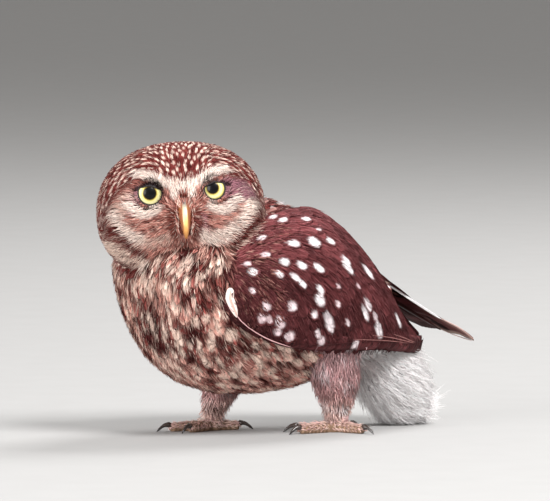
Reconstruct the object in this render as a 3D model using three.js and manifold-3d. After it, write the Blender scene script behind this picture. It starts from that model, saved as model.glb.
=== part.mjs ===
// Little owl, life size, crouched and leaning forward with its head turned to its left.
// Millimetres, +Z up. The bird faces -Y and its left side is +X. Its feet stand on Z = 0,
// and the origin is under the middle of the whole bird.

import * as THREE from 'three';
import { mergeVertices } from 'three/addons/utils/BufferGeometryUtils.js';
import Module from 'manifold-3d';

// The gap between neighbours, and how near two vertices are to count as one
const GAP = 0.3;
const MERGE = 1e-4;

// Head, measured over the feathers
const HEAD_CENTRE = [4.6, -14.7, 104.5];
const HEAD_HALF_WIDTH = 39.3;
const HEAD_CROWN = 33.5;
const HEAD_CHIN = 30;
const HEAD_FACE_DEPTH = 25;
const HEAD_BACK_DEPTH = 30;
const HEAD_SQUARENESS = 2.3;
const HEAD_YAW = 62.5;
const HEAD_ROLL = -3.2;
const FACE_FADE = [4, 16];

// Eyes, the dished discs round them, the brows over them and the bristles between them
const EYE_SPACING = 30.2;
const EYE_HEIGHT = 11.2;
const EYE_RADIUS = 8;
const EYE_DEPTH = 13.4;
const DISC = { depth: 3.8, spread: 8.7 };
const BROW = { height: 2.4, aboveEye: 6.5, slope: 0.12, thickness: 5, reach: 24 };
const BRISTLES = { height: 2.6, halfWidth: 6.5, middle: -2, reach: 11 };

// Bill: places from the cere to the tip in the head's own frame
const BILL_RIDGE = [
  { y: -18, z: 8, halfWidth: 3, halfDepth: 2.6 },
  { y: -24.8, z: 5.2, halfWidth: 3, halfDepth: 3.2 },
  { y: -28.2, z: -0.2, halfWidth: 2.7, halfDepth: 3.2 },
  { y: -29.6, z: -5.4, halfWidth: 1.8, halfDepth: 2.3 },
  { y: -28.9, z: -9.2, halfWidth: 0.75, halfDepth: 1 },
];
const BILL_UNDER = [
  { y: -17, z: -4.4, halfWidth: 2.4, halfDepth: 1.4 },
  { y: -22.6, z: -6.2, halfWidth: 2.1, halfDepth: 1.3 },
  { y: -25.8, z: -7.6, halfWidth: 1.1, halfDepth: 0.8 },
];

// Neck: a broad ruff from the shoulders to the base of the head
const NECK_ROWS = [
  { back: [30, 100], belly: [-31, 68], halfWidth: 32 },
  { back: [26, 110], belly: [-30, 80], halfWidth: 30 },
  { back: [16, 116], belly: [-23, 91], halfWidth: 24 },
];

// Trunk: pairs of places on the back and the belly, as [Y, Z], from the breast to the vent
const TRUNK_ROWS = [
  { back: [-31, 96], belly: [-36, 66], halfWidth: 25 },
  { back: [-18, 106], belly: [-31, 48], halfWidth: 33 },
  { back: [0, 112], belly: [-20, 31], halfWidth: 36 },
  { back: [28, 112], belly: [1, 20.5], halfWidth: 36.5 },
  { back: [52, 104], belly: [32, 19], halfWidth: 35.5 },
  { back: [72, 92], belly: [58, 24], halfWidth: 31 },
  { back: [88, 79], belly: [76, 38], halfWidth: 22 },
  { back: [99, 69], belly: [91, 50], halfWidth: 12 },
];

// Folded wings: the upper and lower edges as [X, Y, Z], with X counted outwards,
// and how thick the edges are beside the middle
const WING_EDGE = 0.35;
const WING_ROWS_LEFT = [
  { upper: [32, -2, 88], lower: [34, -11, 62], bulge: 3.5, thickness: 4 },
  { upper: [30, 17, 102], lower: [39, 7, 49], bulge: 8, thickness: 6 },
  { upper: [26, 42, 106], lower: [39, 32, 41], bulge: 10, thickness: 6 },
  { upper: [20, 63, 97], lower: [35, 55, 38], bulge: 9, thickness: 5.5 },
  { upper: [19, 81, 80], lower: [28, 80, 37], bulge: 5.5, thickness: 4.5 },
  { upper: [17, 96, 59], lower: [20, 100, 37], bulge: 2.5, thickness: 3 },
];
const WING_TIP_LEFT = [
  { upper: [17, 96, 59], lower: [20, 100, 37], bulge: 2.5, thickness: 3 },
  { upper: [14, 108, 46], lower: [14, 112, 38], bulge: 1, thickness: 2 },
  { upper: [13, 112, 43], lower: [13, 114, 40], bulge: 0.5, thickness: 1.4 },
];
const WING_ROWS_RIGHT = [
  { upper: [32, 0, 88], lower: [34, -9, 62], bulge: 3.5, thickness: 4 },
  { upper: [30, 19, 102], lower: [39, 9, 49], bulge: 8, thickness: 6 },
  { upper: [26, 44, 106], lower: [38, 34, 43], bulge: 10, thickness: 6 },
  { upper: [20, 65, 97], lower: [33, 58, 42], bulge: 9, thickness: 5.5 },
  { upper: [16, 87, 84], lower: [25, 86, 43], bulge: 5.5, thickness: 4.5 },
  { upper: [13, 106, 70], lower: [16, 108, 51], bulge: 2, thickness: 3 },
];
const WING_TIP_RIGHT = [
  { upper: [13, 106, 70], lower: [16, 108, 51], bulge: 2, thickness: 3 },
  { upper: [1, 121, 57.2], lower: [13, 121, 53.4], bulge: 1.2, thickness: 2.2 },
  { upper: [-3, 132, 49.8], lower: [8, 133, 46.6], bulge: 1, thickness: 2 },
  { upper: [-4, 142, 45], lower: [3, 143, 41.5], bulge: 0.6, thickness: 1.7 },
  { upper: [-3, 151, 39.2], lower: [-1, 151, 38.2], bulge: 0.2, thickness: 1.2 },
];

// Tail: a narrow closed fan that lies over the rump and slopes down to its tip
const TAIL_ROOT = [0, 68, 80];
const TAIL_TIP = [2, 128, 46];
const TAIL_HALF_WIDTH = { root: 11, tip: 14 };
const TAIL_THICKNESS = { root: 4.8, tip: 2.8 };
const TAIL_ROLL = 2;

// Undertail coverts: a loose hanging puff behind the legs
const PUFF_ROWS = [
  { back: [99, 57], belly: [74, 40], halfWidth: 12 },
  { back: [113, 42], belly: [82, 29], halfWidth: 15 },
  { back: [123, 25], belly: [87, 17], halfWidth: 15 },
  { back: [123, 9], belly: [97, 5.5], halfWidth: 10 },
];

// Legs: middle of the leg as [X, Y, Z], with X counted outwards, and its half thickness,
// which is narrower from side to side
const LEG_NARROWING = 0.8;
const LEG_LEFT = [
  { centre: [21, 56, 44], radius: 15 },
  { centre: [21, 60, 26], radius: 12 },
  { centre: [20, 62, 14], radius: 8 },
  { centre: [20, 61.5, 6.5], radius: 5.6 },
];
const LEG_RIGHT = [
  { centre: [20, 34, 44], radius: 15 },
  { centre: [20, 26, 26], radius: 11.5 },
  { centre: [19, 20, 14], radius: 7.5 },
  { centre: [19, 17, 6.5], radius: 5.6 },
];

// Feet: two toes point forward, one out to the side and one back
const FOOT_PAD = { radius: 5.2, length: 6.2, height: 2.2 };
const TOES = [
  { name: 'hind', bearing: -158, length: 11 },
  { name: 'inner', bearing: -24, length: 16.5 },
  { name: 'middle', bearing: 8, length: 20 },
  { name: 'outer', bearing: 104, length: 16 },
];
const TOE = { rootRadius: 3.3, tipRadius: 2.3, height: 2.2, sink: 0.15, knuckle: 0.07 };
const CLAW = { length: 9, radius: 1.35, taper: 0.86, arch: 1.1, drop: 2.3, gap: 0.6, lift: 0.3 };
const GROUND_BOX = 60;

// How finely each shape is divided, and how far its rounded ends reach past its rows
const HEAD_MESH = { rings: 17, around: 30 };
const EYE_MESH = { around: 14, rings: 7 };
const NECK_MESH = { rings: 4, around: 20, startCap: 10, endCap: 6, squareness: 2.2, capRings: 3 };
const TRUNK_MESH = { rings: 11, around: 24, startCap: 5, endCap: 6, squareness: 2.15, capRings: 3 };
const WING_MESH = { rings: 12, startCap: 3, endCap: 0 };
const NEAR_TIP_MESH = { rings: 4, startCap: -GAP, endCap: 1 };
const FAR_TIP_MESH = { rings: 7, startCap: -GAP, endCap: 1 };
const WING_STEPS = 6;
const TAIL_MESH = { rings: 5, around: 12, startCap: 4, endCap: 5, squareness: 2.6, capRings: 3 };
const PUFF_MESH = { rings: 6, around: 14, startCap: 6, endCap: 5, capRings: 3 };
const LEG_MESH = { rings: 6, around: 12, startCap: 8, endCap: 2.5, capRings: 3 };
const PAD_MESH = { around: 12, rings: 7 };
const TOE_MESH = { rings: 5, around: 8, startCap: 1, endCap: TOE.tipRadius, capRings: 2 };
const CLAW_MESH = { rings: 3, around: 6, startCap: 0.8, endCap: 0.2, capRings: 1 };
const UPPER_BILL_MESH = { rings: 6, around: 8, startCap: 2, endCap: 0.9, capRings: 2 };
const LOWER_BILL_MESH = { rings: 6, around: 8, startCap: 1.5, endCap: 0.8, capRings: 2 };

const deg = THREE.MathUtils.degToRad;
const wasm = await Module();
wasm.setup();

/** A finish with the bird's colour at that place. */
function plumage(color, roughness = 0.9) {
  return new THREE.MeshStandardMaterial({ color, roughness, metalness: 0 });
}

/** Numbers at place t, from 0 to 1, on a smooth curve through the rows of a table. */
function between(rows, t) {
  const place = t * (rows.length - 1);
  const step = Math.min(Math.floor(place), rows.length - 2);
  const f = place - step;
  const row = (i) => rows[THREE.MathUtils.clamp(i, 0, rows.length - 1)];
  const smooth = (a, b, c, d) =>
    0.5 * (2 * b + (c - a) * f + (2 * a - 5 * b + 4 * c - d) * f * f + (3 * b - a - 3 * c + d) * f ** 3);
  const values = {};
  for (const key of Object.keys(rows[0])) {
    const [a, b, c, d] = [-1, 0, 1, 2].map((i) => row(step + i)[key]);
    values[key] = Array.isArray(a)
      ? a.map((_, i) => smooth(a[i], b[i], c[i], d[i]))
      : smooth(a, b, c, d);
  }
  return values;
}

/** A closed surface through rings of points, drawn to a point at either end. */
function closeRings(rings, firstPole, lastPole) {
  const around = rings[0].length;
  const points = [firstPole, ...rings.flat(), lastPole];
  const last = points.length - 1;
  const faces = [];
  for (let k = 0; k < around; k += 1) {
    const next = (k + 1) % around;
    faces.push(0, 1 + next, 1 + k);
    for (let r = 0; r < rings.length - 1; r += 1) {
      const a = 1 + r * around;
      const b = a + around;
      faces.push(a + k, a + next, b + next, a + k, b + next, b + k);
    }
    faces.push(last, last - around + k, last - around + next);
  }
  const geometry = new THREE.BufferGeometry().setFromPoints(points);
  geometry.setIndex(faces);
  return faceOut(geometry);
}

/** The same surface with its faces pointing out, whichever way its rings ran. */
function faceOut(geometry) {
  const p = geometry.attributes.position;
  const index = geometry.index;
  const [a, b, c] = [new THREE.Vector3(), new THREE.Vector3(), new THREE.Vector3()];
  let volume = 0;
  for (let i = 0; i < index.count; i += 3) {
    a.fromBufferAttribute(p, index.getX(i));
    b.fromBufferAttribute(p, index.getX(i + 1));
    c.fromBufferAttribute(p, index.getX(i + 2));
    volume += a.dot(b.cross(c));
  }
  if (volume < 0) {
    for (let i = 0; i < index.count; i += 3) {
      const first = index.getX(i);
      index.setX(i, index.getX(i + 1));
      index.setX(i + 1, first);
    }
  }
  geometry.computeVertexNormals();
  return geometry;
}

/** Signed power, for the rounded squares of a superellipse. */
function power(value, exponent) {
  return Math.sign(value) * Math.abs(value) ** exponent;
}

/** One ring of a body section: an ellipse, or a squarer one, between two half-size vectors. */
function oval(centre, side, up, around, squareness = 2) {
  const ring = [];
  for (let k = 0; k < around; k += 1) {
    const angle = (2 * Math.PI * k) / around;
    ring.push(centre.clone()
      .addScaledVector(side, power(Math.cos(angle), 2 / squareness))
      .addScaledVector(up, power(Math.sin(angle), 2 / squareness)));
  }
  return ring;
}

/** Which way a line of places runs at t. */
function heading(placeAt, t) {
  const step = 0.02;
  return placeAt(Math.min(t + step, 1)).sub(placeAt(Math.max(t - step, 0))).normalize();
}

/** A round-ended body from sections: sectionAt(t) gives each one's centre and half sizes. */
function loft(sectionAt, { rings, around, startCap, endCap, squareness = 2, capRings = 4 }) {
  const slices = [];
  const along = (t) => heading((place) => sectionAt(place).centre, t);
  const capSlice = (t, reach, angle) => {
    const { centre, side, up } = sectionAt(t);
    const shrink = Math.cos(angle);
    centre.addScaledVector(along(t), reach * Math.sin(angle));
    return oval(centre, side.multiplyScalar(shrink), up.multiplyScalar(shrink), around, squareness);
  };
  for (let i = capRings - 1; i > 0; i -= 1) {
    slices.push(capSlice(0, -startCap, (Math.PI / 2) * (i / capRings)));
  }
  for (let i = 0; i <= rings; i += 1) {
    const { centre, side, up } = sectionAt(i / rings);
    slices.push(oval(centre, side, up, around, squareness));
  }
  for (let i = 1; i < capRings; i += 1) {
    slices.push(capSlice(1, endCap, (Math.PI / 2) * (i / capRings)));
  }
  const firstPole = sectionAt(0).centre.clone().addScaledVector(along(0), -startCap);
  const lastPole = sectionAt(1).centre.clone().addScaledVector(along(1), endCap);
  return closeRings(slices, firstPole, lastPole);
}

/** A body whose sections run between a line on the back and a line on the belly. */
function profileLoft(rows, options) {
  const sectionAt = (t) => {
    const { back, belly, halfWidth } = between(rows, t);
    const top = new THREE.Vector3(0, ...back);
    const bottom = new THREE.Vector3(0, ...belly);
    return {
      centre: top.clone().add(bottom).multiplyScalar(0.5),
      side: new THREE.Vector3(halfWidth, 0, 0),
      up: top.sub(bottom).multiplyScalar(0.5),
    };
  };
  return loft(sectionAt, options);
}

/** The same mesh with one vertex at each place, and smooth normals. */
function merged(geometry) {
  const bare = geometry.clone();
  for (const name of Object.keys(bare.attributes).filter((key) => key !== 'position')) {
    bare.deleteAttribute(name);
  }
  const joined = mergeVertices(bare, MERGE);
  joined.computeVertexNormals();
  return joined;
}

/** A closed mesh as a solid that can be joined and cut. */
function solid(geometry) {
  const { attributes, index } = merged(geometry);
  return new wasm.Manifold(new wasm.Mesh({
    numProp: 3,
    vertProperties: new Float32Array(attributes.position.array),
    triVerts: new Uint32Array(index.array),
  }));
}

/** The same shape grown by the gap that its neighbours keep to it. */
function grown(geometry) {
  const bigger = geometry.clone();
  const { position, normal } = bigger.attributes;
  const [p, n] = [new THREE.Vector3(), new THREE.Vector3()];
  for (let i = 0; i < position.count; i += 1) {
    p.fromBufferAttribute(position, i);
    n.fromBufferAttribute(normal, i);
    p.addScaledVector(n, GAP);
    position.setXYZ(i, p.x, p.y, p.z);
  }
  return bigger;
}

/** Back from a solid to a mesh geometry. */
function geometryOf(manifold) {
  const { vertProperties, triVerts } = manifold.getMesh();
  const geometry = new THREE.BufferGeometry();
  geometry.setAttribute('position', new THREE.BufferAttribute(new Float32Array(vertProperties), 3));
  geometry.setIndex(new THREE.BufferAttribute(new Uint32Array(triVerts), 1));
  geometry.computeVertexNormals();
  return geometry;
}

/** A shape less its neighbours, each grown by the gap. */
function cutBy(geometry, neighbours) {
  const cut = neighbours.reduce((body, other) => body.subtract(solid(grown(other))), solid(geometry));
  return geometryOf(cut);
}

/** Turn a shape from the head's own frame into the bird's. */
function placeOnHead(geometry) {
  const turn = new THREE.Matrix4().makeRotationZ(deg(HEAD_YAW));
  const roll = new THREE.Matrix4().makeRotationY(deg(HEAD_ROLL));
  const move = new THREE.Matrix4().makeTranslation(...HEAD_CENTRE);
  return geometry.applyMatrix4(move.multiply(turn).multiply(roll));
}

/** How far the face stands in or out of the plain head at one place on its front. */
function faceRelief(x, z) {
  const across = Math.abs(x);
  const fromEye = Math.hypot(across - EYE_SPACING / 2, z - EYE_HEIGHT);
  const disc = -DISC.depth * Math.exp(-((fromEye / DISC.spread) ** 2));
  const fromBrow = z - (EYE_HEIGHT + BROW.aboveEye + across * BROW.slope);
  const brow = BROW.height * Math.exp(-((fromBrow / BROW.thickness) ** 2) - (across / BROW.reach) ** 4);
  const [a, b] = [across / BRISTLES.halfWidth, (z - BRISTLES.middle) / BRISTLES.reach];
  return disc + brow + BRISTLES.height * Math.exp(-(a ** 2) - b ** 2);
}

/** A place on the feathered head: turn goes round the face, tilt from the face to the nape. */
function headPoint(turn, tilt) {
  const n = HEAD_SQUARENESS;
  const out = new THREE.Vector3(
    Math.sin(tilt) * Math.cos(turn), -Math.cos(tilt), Math.sin(tilt) * Math.sin(turn));
  const depth = out.y < 0 ? HEAD_FACE_DEPTH : HEAD_BACK_DEPTH;
  const height = out.z > 0 ? HEAD_CROWN : HEAD_CHIN;
  const parts = [out.x / HEAD_HALF_WIDTH, out.y / depth, out.z / height];
  const sum = parts.reduce((total, part) => total + Math.abs(part) ** n, 0);
  const p = out.multiplyScalar(sum ** (-1 / n));
  p.y -= faceRelief(p.x, p.z) * THREE.MathUtils.smoothstep(-p.y, ...FACE_FADE);
  return p;
}

/** The feathered head: a broad, flat-topped round with a dished face. */
function headShape({ rings, around }) {
  const slices = [];
  for (let i = 1; i < rings; i += 1) {
    const ring = [];
    for (let k = 0; k < around; k += 1) {
      ring.push(headPoint((2 * Math.PI * k) / around, (Math.PI * i) / rings));
    }
    slices.push(ring);
  }
  return closeRings(slices, headPoint(0, 0), headPoint(0, Math.PI));
}

/** One eyeball; side is 1 for the bird's left. */
function eyeShape(side) {
  const ball = new THREE.SphereGeometry(EYE_RADIUS, EYE_MESH.around, EYE_MESH.rings);
  ball.rotateX(Math.PI / 2);
  ball.translate(side * EYE_SPACING / 2, -EYE_DEPTH, EYE_HEIGHT);
  return merged(ball);
}

/** Half of the bill, along its middle line. */
function billShape(rows, options) {
  const centreAt = (t) => {
    const { y, z } = between(rows, t);
    return new THREE.Vector3(0, y, z);
  };
  const sectionAt = (t) => {
    const { halfWidth, halfDepth } = between(rows, t);
    const ahead = heading(centreAt, t);
    return {
      centre: centreAt(t),
      side: new THREE.Vector3(halfWidth, 0, 0),
      up: new THREE.Vector3(0, -ahead.z, ahead.y).multiplyScalar(halfDepth),
    };
  };
  return loft(sectionAt, options);
}

/** A folded wing or its tip: a bowed sheet of feathers; side is 1 for the bird's left. */
function wingShape(rows, side, { rings, startCap, endCap }) {
  const sheetAt = (t) => {
    const { upper, lower, bulge, thickness } = between(rows, t);
    const top = new THREE.Vector3(side * upper[0], upper[1], upper[2]);
    const bottom = new THREE.Vector3(side * lower[0], lower[1], lower[2]);
    const middle = top.clone().add(bottom).multiplyScalar(0.5);
    return { top, bottom, middle, bulge, thickness };
  };
  const along = (t) => heading((place) => sheetAt(place).middle, t);
  const outwards = (t) => {
    const { top, bottom } = sheetAt(t);
    const out = top.sub(bottom).cross(along(t)).normalize();
    return out.x * side < 0 ? out.negate() : out;
  };
  const ringAt = (t) => {
    const { top, bottom, bulge, thickness } = sheetAt(t);
    const out = outwards(t);
    const ring = [];
    for (const face of [1, -1]) {
      for (let k = 0; k <= WING_STEPS; k += 1) {
        const f = face > 0 ? k / WING_STEPS : 1 - k / WING_STEPS;
        const bow = 1 - (2 * f - 1) ** 2;
        const half = (thickness / 2) * THREE.MathUtils.lerp(WING_EDGE, 1, Math.sqrt(bow));
        ring.push(top.clone().lerp(bottom, f).addScaledVector(out, bulge * bow + face * half));
      }
    }
    return ring;
  };
  const slices = [];
  for (let i = 0; i <= rings; i += 1) {
    slices.push(ringAt(i / rings));
  }
  const pole = (t, reach) => {
    const { middle, bulge } = sheetAt(t);
    return middle.addScaledVector(outwards(t), bulge).addScaledVector(along(t), reach);
  };
  return closeRings(slices, pole(0, -startCap), pole(1, endCap));
}

/** The closed tail: a shallow roof of feathers that widens a little to a rounded end. */
function tailShape() {
  const [root, tip] = [new THREE.Vector3(...TAIL_ROOT), new THREE.Vector3(...TAIL_TIP)];
  const ahead = tip.clone().sub(root).normalize();
  const side = new THREE.Vector3(1, 0, 0).addScaledVector(ahead, -ahead.x).normalize();
  side.applyAxisAngle(ahead, deg(-TAIL_ROLL));
  const up = side.clone().cross(ahead);
  const sectionAt = (t) => ({
    centre: root.clone().lerp(tip, t),
    side: side.clone().multiplyScalar(THREE.MathUtils.lerp(TAIL_HALF_WIDTH.root, TAIL_HALF_WIDTH.tip, t)),
    up: up.clone().multiplyScalar(THREE.MathUtils.lerp(TAIL_THICKNESS.root, TAIL_THICKNESS.tip, t) / 2),
  });
  return loft(sectionAt, TAIL_MESH);
}

/** A feathered leg from the flank down to the ankle; side is 1 for the bird's left. */
function legShape(rows, side) {
  const sectionAt = (t) => {
    const { centre, radius } = between(rows, t);
    return {
      centre: new THREE.Vector3(side * centre[0], centre[1], centre[2]),
      side: new THREE.Vector3(radius * LEG_NARROWING, 0, 0),
      up: new THREE.Vector3(0, radius, 0),
    };
  };
  return loft(sectionAt, LEG_MESH);
}

/** Which way a toe points on the ground, and the way across it. */
function toeLines(toe, side) {
  const angle = deg(toe.bearing) * side;
  const ahead = new THREE.Vector3(Math.sin(angle), -Math.cos(angle), 0);
  return { ahead, across: new THREE.Vector3(-ahead.y, ahead.x, 0) };
}

/** One toe from the middle of the foot, flat underneath. */
function toeShape(toe, ankle, side) {
  const { ahead, across } = toeLines(toe, side);
  const sectionAt = (t) => {
    const joints = 1 + TOE.knuckle * Math.cos(t * 6 * Math.PI);
    const radius = THREE.MathUtils.lerp(TOE.rootRadius, TOE.tipRadius, t) * joints;
    const height = TOE.height * (1 - TOE.sink * t);
    return {
      centre: ankle.clone().addScaledVector(ahead, t * toe.length).setZ(height),
      side: across.clone().multiplyScalar(radius),
      up: new THREE.Vector3(0, 0, radius),
    };
  };
  return loft(sectionAt, TOE_MESH);
}

/** The foot: a low pad with four toes, all trimmed to the level of the ground. */
function footShape(ankle, side) {
  const pad = new THREE.SphereGeometry(FOOT_PAD.radius, PAD_MESH.around, PAD_MESH.rings);
  pad.scale(1, FOOT_PAD.length / FOOT_PAD.radius, 1);
  pad.translate(ankle.x, ankle.y, FOOT_PAD.height);
  const ground = new THREE.BoxGeometry(GROUND_BOX, GROUND_BOX, GROUND_BOX);
  ground.translate(ankle.x, ankle.y, -GROUND_BOX / 2);
  const joined = TOES.reduce((foot, toe) => foot.add(solid(toeShape(toe, ankle, side))), solid(pad));
  return geometryOf(joined.subtract(solid(ground)));
}

/** A claw: a tapered hook from the toe's end, its point just on the ground. */
function clawShape(toe, ankle, side) {
  const { ahead, across } = toeLines(toe, side);
  const root = ankle.clone().addScaledVector(ahead, toe.length + CLAW.gap).setZ(TOE.height + CLAW.lift);
  const centreAt = (t) => {
    const point = root.clone().addScaledVector(ahead, CLAW.length * t * (1 - 0.12 * t));
    point.z += CLAW.arch * Math.sin(Math.PI * Math.min(t * 1.15, 1)) - CLAW.drop * t * t;
    return point;
  };
  const sectionAt = (t) => {
    const radius = CLAW.radius * (1 - CLAW.taper * t ** 1.3);
    return {
      centre: centreAt(t),
      side: across.clone().multiplyScalar(radius),
      up: heading(centreAt, t).cross(across).multiplyScalar(radius),
    };
  };
  return loft(sectionAt, CLAW_MESH);
}

const group = new THREE.Group();

/** Add one named piece of the bird. */
function addPiece(name, geometry, material) {
  const mesh = new THREE.Mesh(geometry, material);
  mesh.name = name;
  group.add(mesh);
}

// Whole shapes, before they are parted
const head = placeOnHead(headShape(HEAD_MESH));
const eyes = { left: placeOnHead(eyeShape(1)), right: placeOnHead(eyeShape(-1)) };
const billUpper = placeOnHead(billShape(BILL_RIDGE, UPPER_BILL_MESH));
const billLower = placeOnHead(billShape(BILL_UNDER, LOWER_BILL_MESH));
const neck = profileLoft(NECK_ROWS, NECK_MESH);
const trunk = profileLoft(TRUNK_ROWS, TRUNK_MESH);
const wings = {
  left: wingShape(WING_ROWS_LEFT, 1, WING_MESH),
  right: wingShape(WING_ROWS_RIGHT, -1, WING_MESH),
};
const wingTips = {
  left: wingShape(WING_TIP_LEFT, 1, NEAR_TIP_MESH),
  right: wingShape(WING_TIP_RIGHT, -1, FAR_TIP_MESH),
};
const tail = tailShape();
const puff = profileLoft(PUFF_ROWS, PUFF_MESH);
const legs = { left: legShape(LEG_LEFT, 1), right: legShape(LEG_RIGHT, -1) };
const ankles = {
  left: new THREE.Vector3(LEG_LEFT.at(-1).centre[0], LEG_LEFT.at(-1).centre[1], 0),
  right: new THREE.Vector3(-LEG_RIGHT.at(-1).centre[0], LEG_RIGHT.at(-1).centre[1], 0),
};
const feet = { left: footShape(ankles.left, 1), right: footShape(ankles.right, -1) };

// The bird's pieces, each cut clear of those that lie over it
addPiece('eye_left', eyes.left, plumage(0xe2b93c, 0.1));
addPiece('eye_right', eyes.right, plumage(0xe2b93c, 0.1));
addPiece('bill_upper', billUpper, plumage(0xd9c98a, 0.35));
addPiece('bill_lower', cutBy(billLower, [billUpper]), plumage(0xc9b678, 0.4));
addPiece('head', cutBy(head, [eyes.left, eyes.right, billUpper, billLower]), plumage(0x8a6a58));
addPiece('neck', cutBy(neck, [head, wings.left, wings.right]), plumage(0x8f7263));
const overTrunk = [head, neck, wings.left, wings.right, legs.left, legs.right];
addPiece('trunk', cutBy(trunk, overTrunk), plumage(0x9b7d6c));
const overTail = [trunk, wings.left, wings.right, wingTips.left, wingTips.right];
addPiece('tail', cutBy(tail, overTail), plumage(0x6b4a3e));
addPiece('undertail', cutBy(puff, [trunk, tail, wings.left, wings.right]), plumage(0xe9e2da));
for (const [name, side] of [['left', 1], ['right', -1]]) {
  addPiece(`wing_${name}`, cutBy(wings[name], [head]), plumage(0x6e4b40));
  addPiece(`wing_tip_${name}`, cutBy(wingTips[name], [wings[name]]), plumage(0x5a3a30));
  addPiece(`leg_${name}`, cutBy(legs[name], [wings[name]]), plumage(0xc9b29a));
  addPiece(`foot_${name}`, cutBy(feet[name], [legs[name]]), plumage(0xb9a184));
  for (const toe of TOES) {
    const claw = clawShape(toe, ankles[name], side);
    addPiece(`claw_${name}_${toe.name}`, cutBy(claw, [feet[name]]), plumage(0x2a211d, 0.35));
  }
}

// The origin goes under the middle of the bird's whole box
const box = new THREE.Box3().setFromObject(group);
const middle = box.getCenter(new THREE.Vector3());
group.position.set(-middle.x, -middle.y, -box.min.z);
group.updateMatrixWorld(true);

export default group;
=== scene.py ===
"""Little owl, life size: skin, plumage, eyes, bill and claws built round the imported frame."""

import logging
import math
from dataclasses import dataclass, field
from enum import Enum
from typing import Callable, Iterable, Sequence

import bmesh
import bpy
import numpy as np
from mathutils import Matrix, Vector
from mathutils.bvhtree import BVHTree
from mathutils.kdtree import KDTree


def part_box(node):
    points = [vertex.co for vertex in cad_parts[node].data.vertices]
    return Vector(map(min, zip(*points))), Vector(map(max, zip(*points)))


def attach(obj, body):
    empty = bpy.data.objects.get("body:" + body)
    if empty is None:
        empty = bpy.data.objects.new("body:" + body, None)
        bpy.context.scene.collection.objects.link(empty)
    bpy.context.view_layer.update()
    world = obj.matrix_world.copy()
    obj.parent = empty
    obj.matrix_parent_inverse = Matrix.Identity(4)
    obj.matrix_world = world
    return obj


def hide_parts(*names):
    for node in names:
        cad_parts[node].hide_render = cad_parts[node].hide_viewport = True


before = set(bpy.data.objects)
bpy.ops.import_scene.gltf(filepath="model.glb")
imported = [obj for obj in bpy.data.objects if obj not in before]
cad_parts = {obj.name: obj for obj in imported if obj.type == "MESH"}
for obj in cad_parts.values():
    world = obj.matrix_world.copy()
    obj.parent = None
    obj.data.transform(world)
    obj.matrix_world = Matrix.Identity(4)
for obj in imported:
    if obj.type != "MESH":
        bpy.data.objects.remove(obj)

logging.basicConfig(level=logging.INFO, format="%(message)s")
log = logging.getLogger("owl")

Array = np.ndarray
Colour = tuple[int, int, int]
Line = tuple[tuple[float, float], ...]
PlaceRule = Callable[[Array, Array], Array]
Spacing = float | Callable[[Array], Array]
BODY = "root"
MM = 0.001
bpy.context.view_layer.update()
LEAST_GAP = 0.2
FLOOR_GAP = 0.4
WAVES = 6


# Small helpers


def unit(vectors: Array) -> Array:
    """Vectors of length one, row by row."""
    size = np.linalg.norm(vectors, axis=-1, keepdims=True)
    return vectors / np.maximum(size, 1e-9)


def smooth(low: float, high: float, values: Array) -> Array:
    """A soft step from 0 at low to 1 at high."""
    x = np.clip((values - low) / (high - low), 0, 1)
    return x * x * (3 - 2 * x)


def blend(a: Array, b: Array, share: Array) -> Array:
    """Colours or places a, moved towards b by share."""
    share = np.asarray(share)[..., None]
    return a * (1 - share) + b * share


def linear(colour: Colour) -> Array:
    """A screen colour from 0 to 255 as scene-linear values."""
    c = np.asarray(colour, float) / 255
    return np.where(c <= 0.04045, c / 12.92, ((c + 0.055) / 1.055) ** 2.4)


def ripple(points: Array, size: float, seed: int) -> Array:
    """Smooth variation over places, as a sum of a few waves.

    Args:
        points: the places, in millimetres.
        size: about how large its patches are, in millimetres.
        seed: picks the waves.

    Returns:
        A value between about -1 and 1 for each place.
    """
    rng = np.random.default_rng(seed)
    total = np.zeros(len(points))
    for _ in range(WAVES):
        wave = unit(rng.normal(size=3)) * (2 * math.pi / size) * rng.uniform(0.6, 1.5)
        total += np.sin(points @ wave + rng.uniform(0, 2 * math.pi))
    return total / (WAVES / 2)


def some(rng: np.random.Generator, chosen: Array, low: float, high: float) -> Array:
    """A random share from low to high for what is chosen, and none for the rest."""
    return np.where(chosen, rng.uniform(low, high, len(chosen)), 0)


def near_one(rng: np.random.Generator, count: int, amount: float) -> Array:
    """Random factors near 1, that differ by about the amount."""
    return 1 + amount * rng.normal(size=count)


def brightness(rng: np.random.Generator, count: int, amount: float) -> Array:
    """A random brightness near 1 for each of so many colours, as a column."""
    return np.exp(rng.normal(0, amount, count))[:, None]


class Tint:
    """The bird's colours, as scene-linear values."""

    CROWN = linear((124, 56, 52))
    CROWN_DARK = linear((92, 36, 34))
    CREAM = linear((252, 224, 208))
    WHITE = linear((250, 244, 246))
    LILAC = linear((224, 186, 190))
    BROW = linear((246, 226, 215))
    FACE = linear((212, 148, 134))
    FACE_DARK = linear((112, 58, 52))
    EYE_PATCH = linear((166, 116, 128))
    LORES = linear((116, 54, 46))
    RIM = linear((28, 14, 16))
    CHEEK = linear((255, 234, 222))
    COLLAR = linear((98, 40, 38))
    MANTLE = linear((112, 60, 58))
    WING = linear((108, 56, 58))
    WING_DARK = linear((58, 22, 24))
    WING_PALE = linear((176, 112, 114))
    BREAST = linear((144, 76, 70))
    BREAST_DARK = linear((68, 24, 24))
    BREAST_PALE = linear((252, 196, 178))
    BELLY = linear((242, 180, 166))
    PUFF = linear((255, 250, 250))
    # Painted shade for the front of the puff and the skin under it
    PUFF_PAINTED_SHADE = linear((226, 194, 192))
    LEG = linear((232, 186, 184))
    LEG_BROWN = linear((138, 82, 84))
    TAIL = linear((56, 28, 26))
    TOE = linear((168, 136, 112))


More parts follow.
